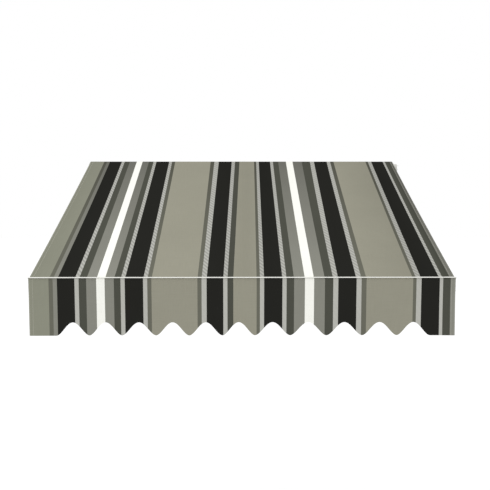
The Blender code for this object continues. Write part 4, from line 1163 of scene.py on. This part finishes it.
@dataclass
class Valance:
    """The valance below the front bar, with its wave edge.

    Fields: the edge waves' height and roundness, the bend where the cloth comes out of the bar's
    slot, how far the hanging cloth ripples and its ripples as share, turn and start, how far its
    left and right ends swing out and over what width, the height that the bar holds still, the
    share of the whole height at which the swing would be full, and how close its points are.
    """

    line: ClothLine
    wave_height: float = 75.5 * MM
    sharpness: float = 1.75
    bend: float = 1.0 * MM
    ripple: float = 2.0 * MM
    waves: tuple[Triple, ...] = ((1.0, 7.3, 0.6), (0.6, 16.0, 2.1), (0.35, 31.0, 4.0))
    flares: Pair = (3.0 * MM, 11.0 * MM)
    flare_width: float = 0.30
    held: float = 82.0 * MM
    full_swing: float = 1.15
    rows: int = 44
    bead_rows: int = 9
    neck_rows: int = 3
    bend_rows: int = 5
    wave_columns: int = 26
    end_columns: int = 14
    area_columns: int = 4001

    @property
    def neck(self) -> float:
        """The length of the cloth from the bead's middle to the start of the bend."""
        return self.line.valance_bead[0] - self.line.valance_plane - self.bend

    @property
    def over(self) -> float:
        """The length of the cloth from the bead's middle to the end of the bend."""
        return self.neck + self.bend * math.pi / 2

    @property
    def height(self) -> float:
        """The flat height, from the far side of the bead to the lowest line."""
        hanging = self.line.valance_bead[1] - self.bend - self.line.valance_low
        return self.line.bead_radius + self.over + hanging

    def columns(self) -> np.ndarray:
        """Places across the valance, closer together on the waves."""
        half, tips = self.line.half_width, self.line.tips
        ends = ((-half, tips[0]), (tips[-1], half))
        spans = [np.linspace(*end, self.end_columns) for end in ends]
        spans += [np.linspace(*wave, self.wave_columns + 1) for wave in zip(tips, tips[1:])]
        return np.unique(np.round(np.concatenate(spans), 6))

    def edge(self, across: np.ndarray) -> np.ndarray:
        """How far the lower edge rises above its lowest line.

        Between two tips it is the wave height times a half sine raised to the sharpness.
        """
        tips = np.array(self.line.tips)
        phase = np.interp(across, tips, np.arange(len(tips)))
        return self.wave_height * np.abs(np.sin(np.pi * phase)) ** self.sharpness

    def drape(self, across: np.ndarray, drop: np.ndarray) -> np.ndarray:
        """How far a point moves towards the wall from the flat valance.

        Below the front bar the cloth swings in slow waves of three lengths that grow downwards, and
        each end swings out on a smooth rise from nothing to its flare.

        Args:
            across: distance from the middle.
            drop: distance below the slot.

        Returns:
            The shift of each point.
        """
        full = self.line.valance_bead[1] - self.line.valance_low
        free = smooth_step(drop, self.held, full * self.full_swing)
        waves = sum(share * np.sin(turn * across + start) for share, turn, start in self.waves)
        half = self.line.half_width
        inner = half - self.flare_width
        left, right = (smooth_step(side * across, inner, half) for side in (-1, 1))
        return free * (self.ripple * waves - self.flares[0] * left - self.flares[1] * right)

    def build(self) -> Piece:
        """Makes the valance on the front bar.

        The cloth leaves its bead forwards, turns down on a quarter circle and hangs. Each row of
        points is a distance along the cloth from the middle of the bead.
        """
        line = self.line
        bead = line.bead_radius
        inside = -bead * np.cos(np.linspace(0.0, math.pi, self.bead_rows)[1:])
        straight = np.linspace(bead, self.neck, self.neck_rows + 1)[1:]
        turning = np.linspace(self.neck, self.over, self.bend_rows + 1)[1:]
        head = np.concatenate([inside, straight, turning])
        columns = self.columns()
        hanging = self.height - bead - self.over - self.edge(columns)
        share = np.linspace(0.0, 1.0, self.rows)[1:]
        below = self.over + share[:, None] * hanging[None, :]
        run = np.concatenate([np.broadcast_to(head[:, None], (len(head), len(columns))), below])
        x = np.broadcast_to(columns, run.shape)
        turn = np.clip((run - self.neck) / self.bend, 0.0, math.pi / 2)
        bead_y, bead_z = line.valance_bead
        drop = self.bend * (1.0 - np.cos(turn)) + np.maximum(run - self.over, 0.0)
        y = bead_y - np.minimum(run, self.neck) - self.bend * np.sin(turn) + self.drape(x, drop)
        middle = np.stack([x, y, bead_z - drop], axis=-1)
        plain = line.cloth / 2
        half = np.where(run < bead, np.maximum(bead_half(run, bead), plain), plain)
        mesh = closed_sheet("wave_valance", middle, half, np.stack([x, -run], axis=-1))
        finish = StripedCloth(
            "striped_valance_cloth", "striped_cloth", Hatch.PLAIN, line.stitch_rows
        )
        piece = add_object(mesh, finish)
        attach(piece, "front_bar_body")
        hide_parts("valance")
        return piece

    def area(self) -> float:
        """The flat area: the full height less what the waves cut away."""
        line = self.line
        places = np.linspace(-line.half_width, line.half_width, self.area_columns)
        return float(2 * line.half_width * (self.height - self.edge(places).mean()))


@dataclass
class Covering:
    """All the cloth of the awning, in the order that it leaves the roller.

    Fields: the joint that folds the awning, the share of the cover's length that is left when it is
    folded, the angle below the horizontal at which the front bar comes in, and the pieces made.
    """

    line: ClothLine
    fold_joint: str = "left_shoulder"
    folded_share: float = 0.118
    pitch: float = math.radians(18.4)
    pieces: list[Piece] = field(default_factory=list)

    def build(self) -> None:
        """Makes the cloth pieces and works out the valance's flat area."""
        line = self.line
        slope = Cover(line)
        cover, roll_edge, bar_edge = slope.build()
        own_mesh(cover)
        feed, turns = RollerTurns(line).build()
        maker = Valance(line)
        valance = maker.build()
        maker.area()
        self.pieces = [cover, roll_edge, bar_edge, feed, turns, valance]


# Metal and plastic pieces


@dataclass(frozen=True)
class RoundedPart:
    """A piece of the frame with its own finish and the small radii that its making leaves.

    Fields: the node, its body, its finish, the width of its rounded edges, the angles from which an
    edge is drawn sharp and rounded, the distance within which loose corners are one, and the angle
    under which two faces are one flat.
    """

    node: str
    body: str
    finish: Finish
    edge: float
    crease: float = math.radians(34)
    rounded_from: float = math.radians(42)
    merge: float = 0.02 * MM
    flat: float = math.radians(0.4)

    def build(self, source: Piece) -> Piece:
        """Copies the node's mesh, merges its loose triangles and rounds its edges.

        Args:
            source: the node's object.

        Returns:
            The piece that stands for the node.
        """
        mesh = bpy.data.meshes.new(f"{self.node}_finished")
        shape = bmesh.new()
        shape.from_mesh(source.data)
        bmesh.ops.remove_doubles(shape, verts=shape.verts, dist=self.merge)
        bmesh.ops.dissolve_limit(shape, angle_limit=self.flat, verts=shape.verts, edges=shape.edges)
        shape.to_mesh(mesh)
        shape.free()
        mesh.shade_smooth()
        mesh.set_sharp_from_angle(angle=self.crease)
        piece = add_object(mesh, self.finish)
        bevel = piece.modifiers.new("Rounded edges", "BEVEL")
        bevel.width = self.edge
        bevel.segments = 2
        bevel.limit_method = "ANGLE"
        bevel.angle_limit = self.rounded_from
        bevel.use_clamp_overlap = True
        weighted = piece.modifiers.new("Even shading", "WEIGHTED_NORMAL")
        weighted.keep_sharp = True
        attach(piece, self.body)
        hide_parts(self.node)
        return piece


@dataclass
class Ironmongery:
    """Every rigid piece of the frame, dressed by the finish that its slot names.

    Fields: the frame, the nodes that other classes make, and the finish and edge radius for each
    slot.
    """

    frame: dict[str, Any]
    elsewhere: tuple[str, ...]
    looks: dict[str, tuple[Finish, float]] = field(
        default_factory=lambda: {
            "white_paint": (PAINT, 0.6 * MM),
            "cast_white": (CASTING, 1.0 * MM),
            "zinc_plate": (ZINC, 0.3 * MM),
            "spring_steel": (SPRING, 0.3 * MM),
            "bronze_wheel": (BRONZE, 0.2 * MM),
            "light_plastic": (PLASTIC, 0.5 * MM),
        }
    )

    def build(self) -> list[Piece]:
        """Dresses each rigid node and returns the pieces."""
        made = []
        for name, node in sorted(self.frame["nodes"].items()):
            if name in self.elsewhere:
                continue
            slot = node.material_slots[0].material.name.split(".")[0]
            finish, edge = self.looks[slot]
            part = RoundedPart(name, node["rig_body"], finish, edge)
            made.append(part.build(node))
        return made


@dataclass(frozen=True)
class TensionSpring:
    """The close-wound spring inside a forearm.

    Fields: its side, the thickness of its wire, the height of a turn, how far it stays inside the
    frame's solid, the points on each turn and the sides of the wire.
    """

    side: str
    wire: float = 3.3 * MM
    pitch: float = 3.6 * MM
    inside: float = 0.1 * MM
    points_per_turn: int = 14
    sides: int = 8

    def build(self, node: Piece) -> Piece:
        """Winds the wire on a helix along the node's long axis.

        A point of the helix is the axis point at that height, plus the coil's radius times a step
        of length 1 at the angle of the turn.

        Args:
            node: the frame's plain solid for the spring.

        Returns:
            The spring.
        """
        points = vertex_places(node.data)
        centre = (points.max(axis=0) + points.min(axis=0)) / 2
        _, _, ways = np.linalg.svd(points - points.mean(axis=0), full_matrices=False)
        axis, first, second = ways
        length = np.ptp(points @ axis) - self.wire
        solid = np.linalg.norm(np.cross(points - centre, axis), axis=1).max()
        radius = solid - self.wire / 2 - self.inside
        turns = length / self.pitch
        angle = np.linspace(0.0, 2 * math.pi * turns, int(turns * self.points_per_turn))
        height = np.linspace(-length / 2, length / 2, len(angle))
        line = centre + height[:, None] * axis
        line = line + radius * on_circle(angle, first, second)
        mesh = swept_tube(f"{self.side}_tension_spring", line, self.wire / 2, self.sides)
        piece = add_object(mesh, SPRING)
        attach(piece, f"{self.side}_forearm")
        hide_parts(node.name)
        return piece


@dataclass(frozen=True)
class ScrewHeads:
    """A group of equal screw heads with their washers, on one body.

    Fields: the group's name, its body, the direction that the heads face, the middle of each
    washer's underside, the width across the head's flats, whether the head is hexagonal or round,
    and the points on each ring.
    """

    name: str
    body: str
    facing: Triple
    seats: tuple[Triple, ...]
    width: float
    hexagonal: bool = True
    columns: int = 36

    def profile(self) -> np.ndarray:
        """Rows of radius, height and squareness, from the washer's underside to the crown's middle.

        All are in widths across flats. Squareness 1 gives the hexagon and 0 the circle.
        """
        return np.array(
            [
                (0.02, 0.0, 0.0),
                (0.60, 0.0, 0.0),
                (0.64, 0.03, 0.0),
                (0.64, 0.12, 0.0),
                (0.60, 0.15, 0.0),
                (0.50, 0.15, 1.0),
                (0.50, 0.50, 1.0),
                (0.46, 0.56, 0.5),
                (0.40, 0.58, 0.0),
                (0.20, 0.59, 0.0),
                (0.02, 0.60, 0.0),
            ]
        )

    def build(self) -> Piece:
        """Makes the heads.

        The radius at an angle is the profile's own, or over a hexagon that radius over the cosine
        of the angle from the nearest flat's middle, and the two mix by the squareness.
        """
        radius, height, square = (column[:, None] for column in self.profile().T)
        angle = np.arange(self.columns) * 2 * math.pi / self.columns
        sixth = math.pi / 3
        from_flat = (angle + sixth / 2) % sixth - sixth / 2
        stretch = 1.0 + square * float(self.hexagonal) * (1.0 / np.cos(from_flat) - 1.0)
        spread = self.width * radius * stretch
        way = np.array(self.facing, float)
        first = np.cross(way, (0.0, 0.0, 1.0))
        second = np.cross(way, first)
        shape = spread[..., None] * on_circle(angle, first, second)
        shape = shape + (self.width * height)[..., None] * way
        faces = ring_faces(*spread.shape)
        points = np.concatenate([shape.reshape(-1, 3) + np.array(seat) for seat in self.seats])
        faces = np.concatenate([faces + index * spread.size for index in range(len(self.seats))])
        piece = add_object(fill_mesh(self.name, points, faces), ZINC)
        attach(piece, self.body)
        return piece


@dataclass
class SmallFasteners:
    """The screws of the front bar's brackets and caps and of the gear's housing.

    Fields: the roller's axis as (y, z), how far washers stand off, the thickness of a bar bracket's
    flange and the height of its middle above its foot, how far a bolt is from the bracket's middle,
    how far the cap's screws are from its back and from its foot, the circle and the angles of the
    housing's screws, and the three widths across flats.
    """

    roller: Pair
    stand: float = 0.1 * MM
    flange: float = 6.0 * MM
    flange_middle: float = 31.0 * MM
    bolt_reach: float = 22.5 * MM
    cap_depth: float = 19.0 * MM
    cap_rises: Pair = (14.0 * MM, 56.0 * MM)
    housing_circle: float = 18.3 * MM
    housing_turns: tuple[int, ...] = (30, 150, 270)
    bolt_width: float = 10.0 * MM
    cap_width: float = 5.5 * MM
    housing_width: float = 4.5 * MM

    def bracket_bolts(self, side: str) -> ScrewHeads:
        """Two bolts on the flange, one on each side of the fork."""
        low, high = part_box(f"bar_bracket_{side}")
        middle = (low.x + high.x) / 2
        y, z = low.y + self.flange + self.stand, low.z + self.flange_middle
        seats = tuple((middle + way * self.bolt_reach, y, z) for way in (-1, 1))
        name = f"bar_bracket_bolts_{side}"
        return ScrewHeads(name, "front_bar_body", (0.0, 1.0, 0.0), seats, self.bolt_width)

    def cap_screws(self, side: str) -> ScrewHeads:
        """Two screws in a front bar cap."""
        low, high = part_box(f"front_bar_cap_{side}")
        face, way = (high.x, 1.0) if side == "right" else (low.x, -1.0)
        x, y = face + way * self.stand, high.y - self.cap_depth
        seats = tuple((x, y, low.z + rise) for rise in self.cap_rises)
        name = f"front_cap_screws_{side}"
        facing, width = (way, 0.0, 0.0), self.cap_width
        return ScrewHeads(name, "front_bar_body", facing, seats, width, hexagonal=False)

    def housing_screws(self) -> ScrewHeads:
        """Three screws in the outer face of the gear's housing."""
        _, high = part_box("gear_housing")
        x, circle = high.x + self.stand, self.housing_circle
        y, z = self.roller
        angles = (math.radians(turn) for turn in self.housing_turns)
        seats = tuple((x, y + circle * math.cos(a), z + circle * math.sin(a)) for a in angles)
        facing, width = (1.0, 0.0, 0.0), self.housing_width
        return ScrewHeads("gear_housing_screws", "carrier", facing, seats, width, hexagonal=False)

    def build(self) -> list[Piece]:
        """Makes every group of screws."""
        groups = [self.housing_screws()]
        for side in ("left", "right"):
            groups += [self.bracket_bolts(side), self.cap_screws(side)]
        return [group.build() for group in groups]


# Light, floor and camera


@dataclass
class Studio:
    """A white studio: soft light from all round, one soft lamp, a pale floor and the camera.

    Fields: the level of the light from all round, the lamp's share, place, aim and size, the
    floor's height, size, grey and glow, and the place, tilt, turn, lens and sensor of the camera
    that gives the photograph's view.
    """

    ambient: float = 0.87
    lamp_share: float = 0.21
    lamp_place: Triple = (-2.2, -5.2, 5.4)
    lamp_aim: Triple = (0.0, -1.2, -0.4)
    lamp_size: float = 4.0
    floor_z: float = -3.2
    floor_size: float = 60.0
    floor_grey: float = 0.82
    floor_glow: float = 0.34
    camera_place: Triple = (-0.01496, -5.97823, 0.02013)
    camera_down: float = math.radians(5.627)
    camera_turn: float = math.radians(-0.414)
    lens: float = 53.59
    sensor: float = 36.0

    def add_world(self) -> None:
        """White for the camera and for gloss, and the ambient level for everything else."""
        world = bpy.data.worlds.new("studio")
        bpy.context.scene.world = world
        world.use_nodes = True
        world.node_tree.nodes.clear()
        kit = NodeKit(world.node_tree)
        strength = kit.ranged(kit.seen_directly(), 0.0, 1.0, self.ambient, 1.0)
        background = kit.add("ShaderNodeBackground", {"Color": FULL_WHITE, "Strength": strength})
        kit.add("ShaderNodeOutputWorld", {"Surface": background.outputs[0]})

    def add_lamp(self) -> None:
        """A square lamp, whose power gives the wanted share of white on a face turned to it."""
        way = np.array(self.lamp_place) - np.array(self.lamp_aim)
        distance = float(np.linalg.norm(way))
        lamp = bpy.data.lights.new("soft_lamp", "AREA")
        lamp.shape = "SQUARE"
        lamp.size = self.lamp_size
        lamp.energy = self.lamp_share * math.pi**2 * distance**2
        holder = place_object("soft_lamp", lamp)
        holder.location = self.lamp_place
        across = math.atan2(way[0], -way[1])
        down = math.acos(way[2] / distance)
        holder.rotation_euler = (down, 0.0, across)

    def add_floor(self) -> None:
        """A pale floor that is white to the camera, keeps shadows and is not seen from below."""
        half = self.floor_size / 2
        corners = np.array([(-1, -1), (1, -1), (1, 1), (-1, 1)], float) * half
        points = np.column_stack([corners, np.full(4, self.floor_z)])
        mesh = fill_mesh("studio_floor", points, np.array([[0, 1, 2, 3]]))
        floor = place_object(mesh.name, mesh)
        material = bpy.data.materials.new("pale_floor")
        material.use_nodes = True
        material.node_tree.nodes.clear()
        kit = NodeKit(material.node_tree)
        shader = kit.add("ShaderNodeBsdfPrincipled", {"Roughness": 0.9})
        shader.inputs["Base Color"].default_value = (*[self.floor_grey] * 3, 1.0)
        shader.inputs["Specular IOR Level"].default_value = 0.0
        shader.inputs["Emission Color"].default_value = FULL_WHITE
        glow = kit.maths("MULTIPLY", kit.seen_directly(), self.floor_glow)
        kit.feed(shader.inputs["Emission Strength"], glow)
        behind = kit.add("ShaderNodeNewGeometry").outputs["Backfacing"]
        clear = kit.add("ShaderNodeBsdfTransparent").outputs[0]
        mixed = kit.add("ShaderNodeMixShader", {0: behind, 1: shader.outputs[0], 2: clear})
        kit.add("ShaderNodeOutputMaterial", {"Surface": mixed.outputs[0]})
        mesh.materials.append(material)

    def add_camera(self) -> None:
        """The camera at the photograph's place and angle."""
        data = bpy.data.cameras.new("view")
        data.lens = self.lens
        data.sensor_width = self.sensor
        camera = place_object("view", data)
        camera.location = self.camera_place
        camera.rotation_euler = (math.pi / 2 - self.camera_down, 0.0, self.camera_turn)
        bpy.context.scene.camera = camera

    def build(self) -> None:
        """Sets up the light, the floor, the camera and the plain view transform."""
        self.add_world()
        self.add_lamp()
        self.add_floor()
        self.add_camera()
        bpy.context.scene.view_settings.view_transform = "Standard"


def main() -> None:
    """Builds the awning's looks around the frame, and reports each piece."""
    logging.basicConfig(level=logging.INFO, format="%(message)s", force=True)
    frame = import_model()
    Studio().build()
    line = ClothLine.from_frame(frame["nodes"]["valance"])
    LOG.info("cover %.3f m long at %.2f degrees", line.length, math.degrees(line.slope))
    covering = Covering(line)
    covering.build()
    for piece in covering.pieces:
        LOG.info("cloth: %s, %d points", piece.name, len(piece.data.vertices))
    springs = ("arm_spring_left", "arm_spring_right")
    for side, name in zip(("left", "right"), springs):
        LOG.info("spring: %s", TensionSpring(side).build(frame["nodes"][name]).name)
    cloth = ("cover", "cloth_turns", "valance")
    for piece in Ironmongery(frame, cloth + springs).build():
        LOG.info("piece: %s", piece.name)
    for piece in SmallFasteners(line.roller).build():
        LOG.info("screws: %s", piece.name)


if __name__ == "__main__":
    main()
